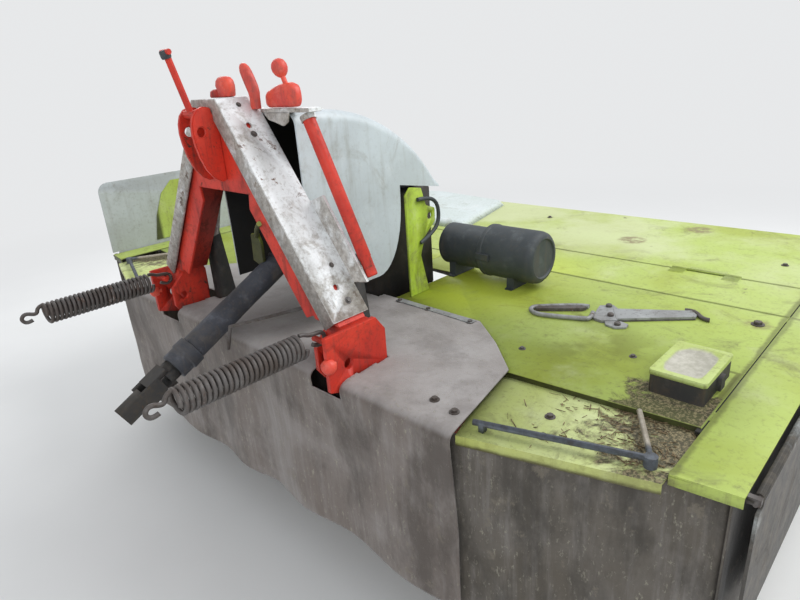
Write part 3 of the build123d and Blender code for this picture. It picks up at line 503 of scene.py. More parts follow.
# Hanging flap: dark patches, thickest low down
flapDarkLook = {
    "lowZ": (0.45, 0.80),
    "lowGain": 0.25,
    "edge": (0.30, 0.52),
    "share": 0.94,
    "flapDark": ((0.040, 0.033, 0.026), (0.095, 0.078, 0.058)),
}


def flapDarkMarks(s, colour):
    look = flapDarkLook
    low = 1.0 - s.z.step(*look["lowZ"])
    # Dark patches, more of them towards the bottom
    flapDark = (s.grain("flapDark") + low * look["lowGain"]).step(*look["edge"]) * look["share"]
    return s.mix(flapDark, colour, s.mix(s.grain("flapDarkTone"), *look["flapDark"]))


flapLook = dict(
    base=(0.42, 0.455, 0.455), second=(0.36, 0.385, 0.37), chalk=(0.52, 0.55, 0.55), chalkShare=0.5,
    dirt=(0.20, 0.19, 0.145), streakShare=0.22, grimeShare=0.5, rust=(0.2, 0.17, 0.12),
    metal=(0.1, 0.09, 0.07), chipAt=0.78, patchScale=3.0, rough=0.55)
paintTable = {
    # key: material, marks, and what differs from the lime paint
    "lime": ("lime_paint", deckMarks, {}),
    "lower": ("lime_rear", lowerMarks, dict(
        base=(0.60, 0.67, 0.30), second=(0.52, 0.59, 0.19), chalk=(0.68, 0.72, 0.46), grimeShare=0.35)),
    "lid": ("lime_lid", lidMarks, dict(base=(0.46, 0.55, 0.19), chalk=(0.55, 0.60, 0.36))),
    "bright": ("lime_bright", None, dict(
        base=(0.40, 0.56, 0.05), second=(0.33, 0.44, 0.035), patchScale=7.0, grimeShare=0.7)),
    "white": ("white_paint", whiteMarks, dict(
        base=(0.80, 0.82, 0.83), second=(0.72, 0.73, 0.73), chalk=(0.84, 0.87, 0.88),
        dirt=(0.22, 0.19, 0.165),
        rust=(0.20, 0.085, 0.04), metal=(0.035, 0.028, 0.025), grimeShare=0.3, fineShare=0.5, chipAt=0.612,
        patchScale=5.0)),
    "red": ("red_paint", None, dict(
        base=(0.62, 0.038, 0.018), second=(0.46, 0.024, 0.014), chalk=(0.66, 0.10, 0.06), chalkShare=0.35,
        dirt=(0.075, 0.028, 0.022), rust=(0.12, 0.04, 0.025), metal=(0.05, 0.03, 0.025), grimeShare=0.6,
        fineShare=0.4, chipAt=0.64, patchScale=6.0)),
    "shell": ("dome_shell", None, dict(
        base=(0.56, 0.62, 0.65), second=(0.48, 0.53, 0.55), chalk=(0.66, 0.71, 0.73), dirt=(0.25, 0.24, 0.20),
        streakShare=0.3, rust=(0.30, 0.28, 0.20), metal=(0.28, 0.27, 0.22), grimeShare=0.35, fineShare=0.2,
        chipAt=0.78, patchScale=3.0, rough=0.42)),
    # Painted shade: the dome's inner face is near-black, standing in for the shade under the dome
    "inside": ("dome_inside_shade", None, dict(
        base=(0.018, 0.019, 0.020), second=(0.012, 0.012, 0.012), chalk=(0.035, 0.033, 0.03),
        dirt=(0.03, 0.025, 0.02), rust=(0.03, 0.025, 0.02), metal=(0.04, 0.035, 0.03), chipAt=0.8,
        patchScale=4.0, rough=0.8)),
    "hood": ("hood_paint", None, dict(
        base=(0.60, 0.66, 0.66), second=(0.54, 0.60, 0.58), chalk=(0.68, 0.71, 0.71), dirt=(0.26, 0.26, 0.18),
        rust=(0.3, 0.3, 0.2), metal=(0.3, 0.3, 0.22), grimeShare=0.4, chipAt=0.8, patchScale=3.0)),
    "flap": ("flap_plastic", None, flapLook),
    "flapDarkened": ("flap_darkened", flapDarkMarks, flapLook),
    "plastic": ("dark_plastic", None, dict(
        base=(0.036, 0.044, 0.050), second=(0.052, 0.062, 0.068), chalk=(0.12, 0.135, 0.14), chalkShare=0.6,
        dirt=(0.10, 0.09, 0.075), rust=(0.05, 0.05, 0.05), metal=(0.08, 0.08, 0.08), chipAt=0.8,
        patchScale=6.0, rough=0.6)),
    # Bluish-grey chalky patches: weathering, and a painted bluish sheen
    "guard": ("guard_plastic", None, dict(
        base=(0.044, 0.049, 0.062), second=(0.034, 0.036, 0.043), chalk=(0.12, 0.13, 0.155), chalkShare=0.7,
        dirt=(0.11, 0.095, 0.08), rust=(0.05, 0.05, 0.05), metal=(0.08, 0.08, 0.08), chipAt=0.8,
        patchScale=9.0, rough=0.55)),
    # Near-black, for the strips that stand in for the shade in the deck-wing gaps
    "gapShade": ("seam_shade_dark", None, dict(
        base=(0.016, 0.016, 0.015), second=(0.024, 0.022, 0.018), chalk=(0.05, 0.046, 0.04),
        dirt=(0.05, 0.042, 0.03), rust=(0.04, 0.034, 0.025), metal=(0.04, 0.035, 0.03), chipAt=0.8,
        patchScale=9.0, rough=0.8)),
    "drum": ("drum_paint", None, dict(
        base=(0.30, 0.045, 0.025), second=(0.22, 0.035, 0.02), chalk=(0.36, 0.12, 0.08),
        dirt=(0.10, 0.08, 0.045),
        rust=(0.16, 0.07, 0.035), metal=(0.16, 0.15, 0.14), grimeShare=0.6, fineShare=0.5, chipAt=0.58,
        patchScale=6.0)),
    "cast": ("cast_case", None, dict(
        base=(0.034, 0.034, 0.034), second=(0.05, 0.045, 0.04), chalk=(0.11, 0.10, 0.09),
        dirt=(0.10, 0.075, 0.05),
        rust=(0.09, 0.05, 0.03), metal=(0.12, 0.11, 0.10), grimeShare=0.7, fineShare=0.5, chipAt=0.68,
        patchScale=8.0, rough=0.7)),
    "steel": ("bare_steel", None, dict(
        base=(0.10, 0.092, 0.088), second=(0.07, 0.056, 0.048), chalk=(0.22, 0.21, 0.20),
        dirt=(0.05, 0.032, 0.022),
        rust=(0.10, 0.045, 0.022), metal=(0.28, 0.27, 0.26), grimeShare=0.6, fineShare=0.5, chipAt=0.62,
        patchScale=9.0, rough=0.5)),
    "rods": ("rod_steel", rodMarks, dict(
        base=(0.075, 0.085, 0.10), second=(0.06, 0.062, 0.068), chalk=(0.20, 0.22, 0.25),
        dirt=(0.05, 0.04, 0.03),
        rust=(0.09, 0.05, 0.03), metal=(0.2, 0.2, 0.2), chipAt=0.7, patchScale=9.0, rough=0.5)),
    "zinc": ("galvanised", None, dict(
        base=(0.30, 0.31, 0.31), second=(0.22, 0.22, 0.215), chalk=(0.45, 0.46, 0.46),
        dirt=(0.07, 0.055, 0.035),
        rust=(0.13, 0.08, 0.04), metal=(0.06, 0.045, 0.035), grimeShare=0.6, fineShare=0.5, chipAt=0.66,
        patchScale=12.0, rough=0.5)),
    "cap": ("red_cap", None, dict(
        base=(0.74, 0.085, 0.045), second=(0.62, 0.06, 0.045), chalk=(0.78, 0.22, 0.17),
        dirt=(0.20, 0.06, 0.05),
        rust=(0.30, 0.08, 0.05), metal=(0.2, 0.08, 0.05), grimeShare=0.4, chipAt=0.8,
        patchScale=14.0, rough=0.45)),
}
materials = {key: paint(name, {**limeLook, **changes}, marks)
             for key, (name, marks, changes) in paintTable.items()}
metalShare = 0.1
for key in ("drum", "cast", "steel", "zinc"):
    materials[key].node_tree.nodes["Principled BSDF"].inputs["Metallic"].default_value = metalShare
paintedNodes = {"lock_lever": "red"}
for rotor in range(1, 5):
    paintedNodes["drum_%d" % rotor] = "drum"
    paintedNodes["saucer_%d" % rotor] = "steel"
    paintedNodes["knives_%d" % rotor] = "steel"
for name, key in paintedNodes.items():
    nodes[name].data.materials.clear()
    nodes[name].data.materials.append(materials[key])
print("materials made")


# Making pieces
def linked(name, data):
    piece = bpy.data.objects.new(name, data)
    bpy.context.scene.collection.objects.link(piece)
    return piece


def finished(name, shape, material, body, angle=38.0):
    # A piece from a worked shape: material, smooth faces with sharp corners, and its body.
    mesh = bpy.data.meshes.new(name)
    shape.to_mesh(mesh)
    shape.free()
    mesh.materials.clear()
    mesh.materials.append(material)
    for face in mesh.polygons:
        face.use_smooth = True
    mesh.set_sharp_from_angle(angle=math.radians(angle))
    piece = linked(name, mesh)
    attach(piece, body)
    return piece


edgeLook = {"join": 0.00002, "flat": 0.8, "sharp": 32.0, "smooth": 40.0}
softTable = {
    # node: material, slot, edge radius
    "main_decks": ("lime", "lime_paint", 0.0022),
    "rear_decks": ("lower", "lime_paint", 0.0022),
    "end_wings": ("lime", "lime_paint", 0.0022),
    "front_strip": ("lime", "lime_paint", 0.0016),
    "front_guard": ("lime", "lime_paint", 0.0016),
    "lift_brackets": ("bright", "lime_paint", 0.0014),
    "deck_frame": ("lime", "lime_paint", 0.001),
    "knife_box_lid": ("lid", "lime_paint", 0.0014),
    "headstock_frame": ("white", "white_paint", 0.0022),
    "headstock_top": ("white", "white_paint", 0.0012),
    "coupler_frame": ("red", "red_paint", 0.0022),
    "coupler_foot_right": ("red", "red_paint", 0.0055),
    "coupler_foot_left": ("red", "red_paint", 0.0055),
    "front_hood": ("hood", "lime_paint", 0.0016),
    "side_flap_left": ("flap", "flap_plastic", 0.0012),
    "side_flap_right": ("flapDarkened", "flap_plastic", 0.0012),
    "main_gearbox": ("cast", "cast_case", 0.0035),
    "gear_beam": ("cast", "cast_case", 0.003),
    "drive_joint_front": ("cast", "cast_case", 0.002),
    "drive_joint_rear": ("cast", "cast_case", 0.002),
    "carrier_arms": ("cast", "cast_case", 0.0025),
    "knife_box": ("cast", "cast_case", 0.0014),
    "clamp_strips": ("zinc", "galvanised", 0.0006),
    "shaft_hook": ("steel", "bare_steel", 0.0006),
    "hold_down_rods": ("rods", "bare_steel", 0.0006),
    "flap_hinges": ("steel", "bare_steel", 0.001),
}


def flattened(shape):
    # Joins triangles that lie in one plane.
    flat = math.radians(edgeLook["flat"])
    bmesh.ops.dissolve_limit(shape, angle_limit=flat, verts=shape.verts, edges=shape.edges)


def edgesRounded(shape, angle, radius):
    least = math.radians(angle)
    sharp = [e for e in shape.edges if len(e.link_faces) == 2 and e.calc_face_angle(0.0) > least]
    bmesh.ops.bevel(shape, geom=sharp, offset=radius, segments=2, affect="EDGES", clamp_overlap=True)


def stands(piece, part):
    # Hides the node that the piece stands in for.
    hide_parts(part)


def softened(part, material, slot, radius):
    # A copy of a node's mesh with its sharp edges rounded.
    shape = bmesh.new()
    shape.from_mesh(nodes[part].data)
    bmesh.ops.remove_doubles(shape, verts=shape.verts, dist=edgeLook["join"])
    flattened(shape)
    edgesRounded(shape, edgeLook["sharp"], radius)
    piece = finished(part + "_finish", shape, materials[material], bodyOf[part], edgeLook["smooth"])
    stands(piece, part)


for part, row in softTable.items():
    softened(part, *row)
print("edges rounded")

planes = {
    "x": lambda a, b, t: (t, a, b),
    "y": lambda a, b, t: (a, t, b),
    "z": lambda a, b, t: (a, b, t),
}


def raised(shape, faces, lift):
    # Gives flat faces a thickness.
    made = bmesh.ops.extrude_face_region(shape, geom=faces)["geom"]
    bmesh.ops.translate(shape, verts=[v for v in made if isinstance(v, bmesh.types.BMVert)], vec=lift)
    bmesh.ops.recalc_face_normals(shape, faces=shape.faces)


def plate(name, outline, low, high, across, material, body, soft=0.0012):
    # A plate from its outline, thick along one axis, with its edges rounded.
    order = planes[across]
    shape = bmesh.new()
    face = shape.faces.new([shape.verts.new(at(*order(a, b, low))) for a, b in outline])
    raised(shape, [face], at(*order(0, 0, high)) - at(*order(0, 0, low)))
    bmesh.ops.bevel(shape, geom=list(shape.edges), offset=soft, segments=3, affect="EDGES",
                    clamp_overlap=True)
    return finished(name, shape, material, body)


def ringed(name, points, sides, material, body, angle):
    # A closed piece through rings of points.
    shape = bmesh.new()
    corners = [shape.verts.new(point) for point in points]
    last = len(points) - sides
    for low in range(0, last, sides):
        for i in range(sides):
            j = (i + 1) % sides
            shape.faces.new([corners[k] for k in (low + i, low + j, low + sides + j, low + sides + i)])
    shape.faces.new(list(reversed(corners[:sides])))
    shape.faces.new(corners[last:])
    bmesh.ops.recalc_face_normals(shape, faces=shape.faces)
    return finished(name, shape, material, body, angle)


def circle(sides):
    return [(math.cos(2 * math.pi * i / sides), math.sin(2 * math.pi * i / sides)) for i in range(sides)]


def lathe(name, profile, start, aim, material, body, sides=56):
    # A turned piece from its distances along the axis and radii.
    turn = Vector(aim).to_track_quat("Z", "X").to_matrix()
    points = [at(*start) + turn @ Vector((radius * c, radius * d, run))
              for run, radius in profile for c, d in circle(sides)]
    return ringed(name, points, sides, material, body, 38.0)


def lofted(name, sections, material, body, across="z", power=2.6, sides=36):
    # A rounded piece through sections: place along an axis, middle and half sizes.
    order = planes[across]

    def bulged(value):
        return math.copysign(abs(value) ** (2 / power), value)

    points = [at(*order(a + halfA * bulged(c), b + halfB * bulged(d), t))
              for t, a, b, halfA, halfB in sections for c, d in circle(sides)]
    return ringed(name, points, sides, material, body, 60.0)


def merged(name, pieces, body):
    # Joins finished pieces into one object.
    for piece in pieces:
        piece.parent = None
        piece.matrix_world = Matrix.Identity(4)
    with bpy.context.temp_override(active_object=pieces[0], selected_editable_objects=pieces):
        bpy.ops.object.join()
    whole = pieces[0]
    whole.name = name
    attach(whole, body)
    return whole


def applied(piece):
    mesh = bpy.data.meshes.new_from_object(piece.evaluated_get(bpy.context.evaluated_depsgraph_get()))
    old = piece.data
    piece.modifiers.clear()
    piece.data = mesh
    bpy.data.meshes.remove(old)


def solid(piece, thick, offset, otherSide=0):
    layer = piece.modifiers.new("thick", "SOLIDIFY")
    layer.thickness = thick
    layer.offset = offset
    layer.material_offset = otherSide
    applied(piece)


def skin(name, points, faces, material, body, uv=None):
    # An open smooth skin, later given its thickness.
    mesh = bpy.data.meshes.new(name)
    mesh.from_pydata([tuple(p) for p in points], [], faces)
    if uv:
        layer = mesh.uv_layers.new(name="flat")
        for loop in mesh.loops:
            layer.data[loop.index].uv = uv[loop.vertex_index]
    mesh.materials.append(material)
    for face in mesh.polygons:
        face.use_smooth = True
    piece = linked(name, mesh)
    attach(piece, body)
    return piece


def gridFaces(rows, columns):
    starts = [row * (columns + 1) + column for row in range(rows) for column in range(columns)]
    return [(a, a + 1, a + columns + 2, a + columns + 1) for a in starts]


def wire(name, points, radius, material, body):
    # A bent rod through chosen points, given in frame places.
    curve = bpy.data.curves.new(name, "CURVE")
    curve.dimensions = "3D"
    curve.bevel_depth = radius
    curve.bevel_resolution = 3
    curve.use_fill_caps = True
    curve.resolution_u = 8
    spline = curve.splines.new("NURBS")
    spline.points.add(len(points) - 1)
    for point, place in zip(spline.points, points):
        point.co = (*place, 1.0)
    spline.order_u = 3
    spline.use_endpoint_u = True
    holder = linked(name + "_line", curve)
    mesh = bpy.data.meshes.new_from_object(holder.evaluated_get(bpy.context.evaluated_depsgraph_get()))
    bpy.data.objects.remove(holder)
    mesh.materials.clear()
    mesh.materials.append(material)
    for face in mesh.polygons:
        face.use_smooth = True
    piece = linked(name, mesh)
    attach(piece, body)
    return piece


# Canvas: woven, coated and dusty, with streaks and pale specks
canvasLook = {
    "dust": (0.335, 0.315, 0.305),
    "speck": (0.33, 0.31, 0.24),
    "speckShare": 0.62,
    "clod": (0.19, 0.165, 0.125),
    "clodShare": 0.5,
    "clodLevel": 0.7,
    "runShare": 0.30,
    "dampShare": 0.8,
    "dampLevel": 0.6,
    "levelFace": (0.25, 0.8),
    "rough": 0.78,
    "dustRough": 0.15,
    "threads": 900.0,
    "threadDepth": 0.03,
    "skinDepth": 0.8,
    "speckDepth": 0.6,
    "depth": 0.0008,
    "sheen": 0.15,
    "thick": 0.003,
}


def canvasMaterial(name, dustShare, topDust, base, dark):
    look = canvasLook
    s = Surface(name)
    level = s.up.step(*look["levelFace"])
    specks = s.grain("clothSpecks")
    runs = s.grain("clothRuns") * look["runShare"] * (1.0 - level)
    dusty = (s.grain("clothClouds") * dustShare + runs + level * topDust).lower(1.0)
    colour = s.mix(dusty, base, look["dust"])
    colour = s.mix(specks * look["speckShare"], colour, look["speck"])
    colour = s.mix(s.grain("clothDamp") * look["dampShare"] * (1.0 - level * look["dampLevel"]), colour, dark)
    clods = s.grain("clothClods") * (1.0 - level * look["clodLevel"])
    s.colour(s.mix(clods * look["clodShare"], colour, look["clod"]))
    s.rough(look["rough"] + dusty * look["dustRough"])
    weave = (s.u * look["threads"]).maths("SINE") * (s.v * look["threads"]).maths("SINE")
    skinHeight = s.grain("clothSkin") * look["skinDepth"]
    height = weave * look["threadDepth"] + skinHeight + specks * look["speckDepth"]
    s.bump(height, look["depth"])
    s.shader.inputs["Sheen Weight"].default_value = look["sheen"]
    return s.material


clothTable = {
    # key: name, share of dust, dust on level parts, colour, colour where damp
    "canvas": ("canvas_centre", 0.42, 0.62, (0.150, 0.122, 0.105), (0.060, 0.047, 0.038)),
    "skirt": ("canvas_skirt", 0.16, 0.1, (0.085, 0.072, 0.055), (0.026, 0.022, 0.016)),
}
for key, row in clothTable.items():
    materials[key] = canvasMaterial(*row)


def woven(name, rows, columns, place, material, body, keep=None):
    # A cloth of rows by columns points, place(s, t) with s across and t along, given its thickness.
    placed = [place(column / columns, row / rows) for row in range(rows + 1) for column in range(columns + 1)]
    points, uv = [point for point, flat in placed], [flat for point, flat in placed]
    faces = gridFaces(rows, columns)
    if keep:
        faces = [face for face in faces if keep(sum((points[c] for c in face), Vector()) / 4)]
    piece = skin(name, points, faces, material, body, uv)
    solid(piece, canvasLook["thick"], 0.0)
    return piece


def along(line, share):
    # The point at a share of a line's length.
    lengths = [math.dist(a, b) for a, b in zip(line, line[1:])]
    left = share * sum(lengths)
    for (a, b), length in zip(zip(line, line[1:]), lengths):
        if left <= length or b == line[-1]:
            part = min(left / length, 1.0)
            return a[0] + (b[0] - a[0]) * part, a[1] + (b[1] - a[1]) * part
        left -= length


# Centre sheet: lies over the decks' rear edge, rolls over it and hangs, cut out round the coupler's feet
centreLook = {
    "front": 0.412,
    "edgeY": -0.068,
    "top": 0.7635,
    "bottom": 0.262,
    "roll": 0.022,
    # y, half width
    "outline": [(0.412, 0.530), (0.321, 0.650), (0.214, 0.764), (-0.068, 0.823)],
    "grid": (150, 200),
    "swell": 0.0015,
    "swellScale": (3.1, 5.0, 0.4),
    "foldReach": 0.25,
    "foldSize": 0.012,
    "foldWaves": (17.0, 0.7, 5.0),
    "foldRipple": 0.008,
    "foldShare": 0.8,
    "lean": 0.012,
    # Lowest and highest of |x|, y and z in each cut-out
    "cuts": [((0.0, 0.128), (0.386, 9.0), (-9.0, 9.0)), ((0.366, 0.476), (-9.0, 0.090), (0.722, 9.0)),
             ((0.326, 0.390), (0.052, 0.130), (-9.0, 9.0))],
}


def centreSheet():
    look = centreLook
    outline, roll = look["outline"], look["roll"]
    widest = outline[-1][1]
    flatRun = look["front"] - look["edgeY"]
    arc = roll * math.pi / 2
    total = flatRun + arc + look["top"] - roll - look["bottom"]

    def halfWidth(y):
        for (y0, w0), (y1, w1) in zip(outline, outline[1:]):
            if y >= y1:
                return w0 + (w1 - w0) * (y0 - y) / (y0 - y1)
        return widest

    def place(s, t):
        run = t * total
        across = s * 2 - 1
        fine, long, seed = look["swellScale"]
        wave = noise.noise(Vector((across * fine, t * long, seed)))
        if run < flatRun:
            y = look["front"] - run
            x = across * halfWidth(y)
            z = look["top"] + look["swell"] * (1 + wave)
        elif run < flatRun + arc:
            angle = (run - flatRun) / roll
            x = across * widest
            y = look["edgeY"] - roll * math.sin(angle)
            z = look["top"] - roll * (1 - math.cos(angle))
        else:
            down = run - flatRun - arc
            x = across * widest
            depth = min(1.0, down / look["foldReach"])
            waves, waver, slow = look["foldWaves"]
            fold = look["foldSize"] * math.sin(x * waves + waver * math.sin(x * slow))
            fold += look["foldRipple"] * wave
            y = look["edgeY"] - roll + depth * (look["lean"] + fold * look["foldShare"])
            z = look["top"] - roll - down
        return at(x, y, z), (x, run)

    def keep(point):
        p = point + hitchShift
        place = (abs(p.x), p.y, p.z)
        return not any(all(low < value < high for value, (low, high) in zip(place, cut))
                       for cut in look["cuts"])

    piece = woven("centre_canvas", *look["grid"], place, materials["canvas"], "frame", keep)
    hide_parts("centre_sheet")
    2 * widest


centreSheet()

# Hanging skirts: their line in plan, how the folds start at each end, a wave and finer ripples
hangEase = 2.2
skirtTable = {
    "rear_canvas": {
        "part": "rear_skirts", "rests": "rear_decks", "body": "frame", "pair": True, "grid": (60, 70),
        "line": [(0.752, -0.050), (0.794, -0.057), (1.062, 0.017), (1.203, 0.072), (1.3042, 0.0925)],
        "top": 0.7415, "bottom": 0.262, "runsAlongY": False, "lean": 0.0,
        "startEase": (7.0, 0.05), "endEase": (7.0, 0.05),
        # Size and number of waves, and the phase that sets the two sides apart
        "wave": (0.009, 31.0, 1.0),
        # Size, scale along, scale down and seed
        "ripples": [(0.007, 9.0, 4.0, 3.0), (0.004, 30.0, 9.0, 7.0)],
    },
    "end_canvas": {
        "part": "end_skirts", "rests": "end_wings", "body": "frame", "pair": True, "grid": (50, 140),
        "line": [(1.307, 0.079), (1.307, 1.640), (1.304, 1.690), (1.288, 1.722), (1.213, 1.802)],
        "top": 0.7425, "bottom": 0.262, "runsAlongY": True, "lean": 0.0,
        "startEase": (18.0, 0.02), "endEase": (9.0, 0.05),
        "wave": (0.006, 23.0, 1.0), "ripples": [(0.004, 9.0, 4.0, 5.0)],
    },
    "front_canvas": {
        "part": "front_skirt", "rests": "front_guard", "body": "front_guard", "pair": False,
        "grid": (50, 190),
        "line": [(-1.197, 1.8185), (1.197, 1.8185)],
        "top": 0.7565, "bottom": 0.262, "runsAlongY": False, "lean": 0.012,
        "startEase": (0.0, 1.0), "endEase": (0.0, 1.0),
        "wave": (0.008, 19.0, 0.0), "ripples": [(0.006, 7.0, 4.0, 9.0)],
    },
}


def skirt(name, look, side):
    height = look["top"] - look["bottom"]
    width = sum(math.dist(a, b) for a, b in zip(look["line"], look["line"][1:]))
    startGrowth, startDepth = look["startEase"]
    endGrowth, endDepth = look["endEase"]
    waveSize, waves, phase = look["wave"]

    def place(s, t):
        x, y = along(look["line"], s)
        run = y if look["runsAlongY"] else x
        ease = min(1.0, s * startGrowth + startDepth, (1.0 - s) * endGrowth + endDepth)
        fold = waveSize * math.sin(run * waves + side * phase)
        for size, fine, down, seed in look["ripples"]:
            fold += size * noise.noise(Vector((run * fine, t * down, side * seed)))
        out = (fold - look["lean"]) * min(1.0, t * hangEase) * ease
        if look["runsAlongY"]:
            x += out
        else:
            y += out
        return at(side * x, y, look["top"] - t * height), (s * width, t * height)

    piece = woven(name, *look["grid"], place, materials["skirt"], look["body"])
    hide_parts(look["part"])


for name, look in skirtTable.items():
    if look["pair"]:
        for side, label in bothSides:
            skirt(name + "_" + label, look, side)
    else:
        skirt(name, look, 1)
print("canvas made")

# Relief springs: coil, and a hook at each end
springLook = {
    "x": 0.410,
    "z": 0.866,
    "start": -0.140,
    "length": 0.320,
    "turns": 25,
    "radius": 0.0280,
    "wire": 0.0054,
    "hookWire": 0.0055,
    # Distance from the coil's end along Y, and height above its middle
    "frontHook": [(0.0, 0.0280), (0.012, 0.0280), (0.030, 0.018), (0.072, 0.016), (0.076, -0.012),
                  (0.052, -0.018), (0.036, -0.008)],
    "rearHook": [(0.0, 0.0280), (-0.014, 0.0252), (-0.02, 0.004), (-0.05, 0.018), (-0.064, 0.002),
                 (-0.05, -0.014), (-0.034, -0.008)],
}


def geometryTree(name, inputs):
    tree = bpy.data.node_groups.new(name, "GeometryNodeTree")
    for label, kind, value in inputs:
        made = tree.interface.new_socket(label, in_out="INPUT", socket_type="NodeSocket" + kind)
        if value is not None:
            made.default_value = value
    tree.interface.new_socket("Geometry", in_out="OUTPUT", socket_type="NodeSocketGeometry")
    return tree


def dressed(tree, geometry, material):
    # The end of every tree: real geometry with its material.
    real = node(tree, "GeometryNodeRealizeInstances", {0: geometry})
    painted = node(tree, "GeometryNodeSetMaterial", {"Geometry": real.outputs[0], "Material": material})
    node(tree, "NodeGroupOutput", {0: painted.outputs[0]})
    return tree


def grown(name, tree, body, mesh=None):
    piece = linked(name, mesh or bpy.data.meshes.new(name))
    growth = piece.modifiers.new("growth", "NODES")
    growth.node_group = tree
    bpy.context.view_layer.update()
    applied(piece)
    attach(piece, body)
    return piece


def coilTree(name, look, place, material):
    keys = ("turns", "radius", "length", "wire")
    tree = geometryTree(name, [(key.capitalize(), "Float", look[key]) for key in keys])
    given = node(tree, "NodeGroupInput")
    spiral = node(tree, "GeometryNodeCurveSpiral",
                  {"Resolution": 20, "Rotations": given.outputs["Turns"],
                   "Start Radius": given.outputs["Radius"],
                   "End Radius": given.outputs["Radius"], "Height": given.outputs["Length"]})
    ring = node(tree, "GeometryNodeCurvePrimitiveCircle", {"Resolution": 8, "Radius": given.outputs["Wire"]})
    tube = node(tree, "GeometryNodeCurveToMesh",
                {"Curve": spiral.outputs[0], "Profile Curve": ring.outputs[0], "Fill Caps": True})
    turned = node(tree, "GeometryNodeTransform", {"Geometry": tube.outputs[0], "Translation": place,
                                                  "Rotation": (math.radians(90), 0, 0)})
    return dressed(tree, turned.outputs[0], material)


def reliefSpring(side, label):
    look, steel = springLook, materials["steel"]
    x, start = side * look["x"], look["start"]
    tree = coilTree("coil_" + label, look, at(x, start, look["z"]), steel)
    coil = grown("spring_coil_" + label, tree, "frame")
    for face in coil.data.polygons:
        face.use_smooth = True
    pieces = [coil]
    for end, y in (("front", start), ("rear", start - look["length"])):
        hook = [at(x, y + run, look["z"] + up) for run, up in look[end + "Hook"]]
        pieces.append(wire("spring_%s_%s" % (end, label), hook, look["hookWire"], steel, "frame"))
    stands(merged("relief_coil_" + label, pieces, "frame"), "relief_spring_" + label)


for side, label in bothSides:
    reliefSpring(side, label)
print("springs made")

# Dome over the gearbox: one smooth shell with rounded shoulders and a visor, its inner face near-black as
# painted shade
domeLow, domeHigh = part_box("dome_guard")
domeLook = {
    "half": (domeHigh.x - domeLow.x) / 2,
    "rear": domeLow.y + hitchShift.y,
    "nose": domeHigh.y + hitchShift.y,
    "top": domeHigh.z,
    "bottom": domeLow.z,
    "straight": 0.074,
    "noseZ": 1.110,
    "sideStart": 0.326,
    "sideEnd": 0.442,
    "sideTop": 1.100,
    "visorStart": 1.136,
    "visorFall": 0.195,
    "visorGap": 0.0006,
    "shoulder": 0.034,
    "wall": 0.005,
    # Rows along the side, its curve and the visor, then points up a wall, round a shoulder and over the roof
    "rows": (12, 10, 20),
    "steps": (8, 8, 14),
    "dent": 0.0012,
    "dentScale": 9.0,
    "sharp": 35.0,
}


def domeShell():
    look = domeLook
    half, bottom, shoulder = look["half"], look["bottom"], look["shoulder"]
    start, end = look["sideStart"], look["sideEnd"]
    crown = look["rear"] + look["straight"]
    run = look["nose"] - crown
    fall = look["top"] - look["noseZ"]
    radius = (run * run + fall * fall) / (2 * fall)

    def roof(y):
        reach = max(0.0, y - crown)
        return look["top"] - radius + math.sqrt(radius * radius - reach * reach)

    def edge(y):
        if y <= start:
            return bottom
        if y <= end:
            share = min(1.0, (y - start) / (end - start))
            return bottom + (look["sideTop"] - bottom) * (1 - math.sqrt(1 - share * share))
        return look["visorStart"] - look["visorFall"] * (y - end)

    sideRows, curveRows, visorRows = look["rows"]
    wallSteps, shoulderSteps, roofSteps = look["steps"]
    visor = end + look["visorGap"]
    rows = [look["rear"] + (start - look["rear"]) * i / sideRows for i in range(sideRows + 1)]
    rows += [start + (end - start) * math.sin(math.pi / 2 * i / curveRows) for i in range(1, curveRows + 1)]
    rows += [visor + (look["nose"] - visor) * i / visorRows for i in range(visorRows + 1)]
    points = []
    for y in rows:
        top, low = roof(y), edge(y)
        soft = min(shoulder, (top - low) * 0.95)
        section = [(half, low + (top - soft - low) * i / wallSteps) for i in range(wallSteps)]
        for i in range(shoulderSteps + 1):
            angle = math.pi / 2 * i / shoulderSteps
            section.append((half - soft + soft * math.cos(angle), top - soft + soft * math.sin(angle)))
        section += [((half - soft) * (1 - 2 * i / roofSteps), top) for i in range(1, roofSteps // 2 + 1)]
        section += [(-x, z) for x, z in reversed(section[:-1])]
        for x, z in section:
            dent = look["dent"] * noise.noise(Vector((x, y, z)) * look["dentScale"])
            points.append(at(x - math.copysign(abs(dent), x), y, z - abs(dent)))
    across = len(points) // len(rows)
    faces = [tuple(reversed(face)) for face in gridFaces(len(rows) - 1, across - 1)]
    piece = skin("dome_shell", points, faces, materials["shell"], "frame")
    # The inner face gets the near-black painted shade
    piece.data.materials.append(materials["inside"])
    solid(piece, look["wall"], -1.0, otherSide=1)
    piece.data.set_sharp_from_angle(angle=math.radians(look["sharp"]))
    stands(piece, "dome_guard")


domeShell()

# Document tube: body, wider lid with a rounded end, hinge latch and two saddles
tubeLook = {
    "start": (0.150, 0.750, 0.868),
    "body": [(0.0, 0.002), (0.0, 0.068), (0.006, 0.074), (0.172, 0.074), (0.176, 0.0775), (0.186, 0.0775)],
    "lid": [(0.180, 0.070), (0.180, 0.0865), (0.184, 0.090), (0.196, 0.090), (0.199, 0.0875), (0.364, 0.0875),
            (0.378, 0.084), (0.387, 0.075), (0.389, 0.066), (0.384, 0.062), (0.383, 0.002)],
    # Place along the tube, half width and top of each saddle
    "saddles": [(0.045, 0.050, 0.828), (0.295, 0.056, 0.818)],
    "saddleHalf": 0.014,
    "foot": 0.012,
    "footZ": (0.7605, 0.764, 0.767),
    # Distance along the tube, y
    "latch": [(0.180, 0.664), (0.236, 0.660), (0.236, 0.652), (0.180, 0.656)],
    "latchZ": (0.858, 0.880),
}


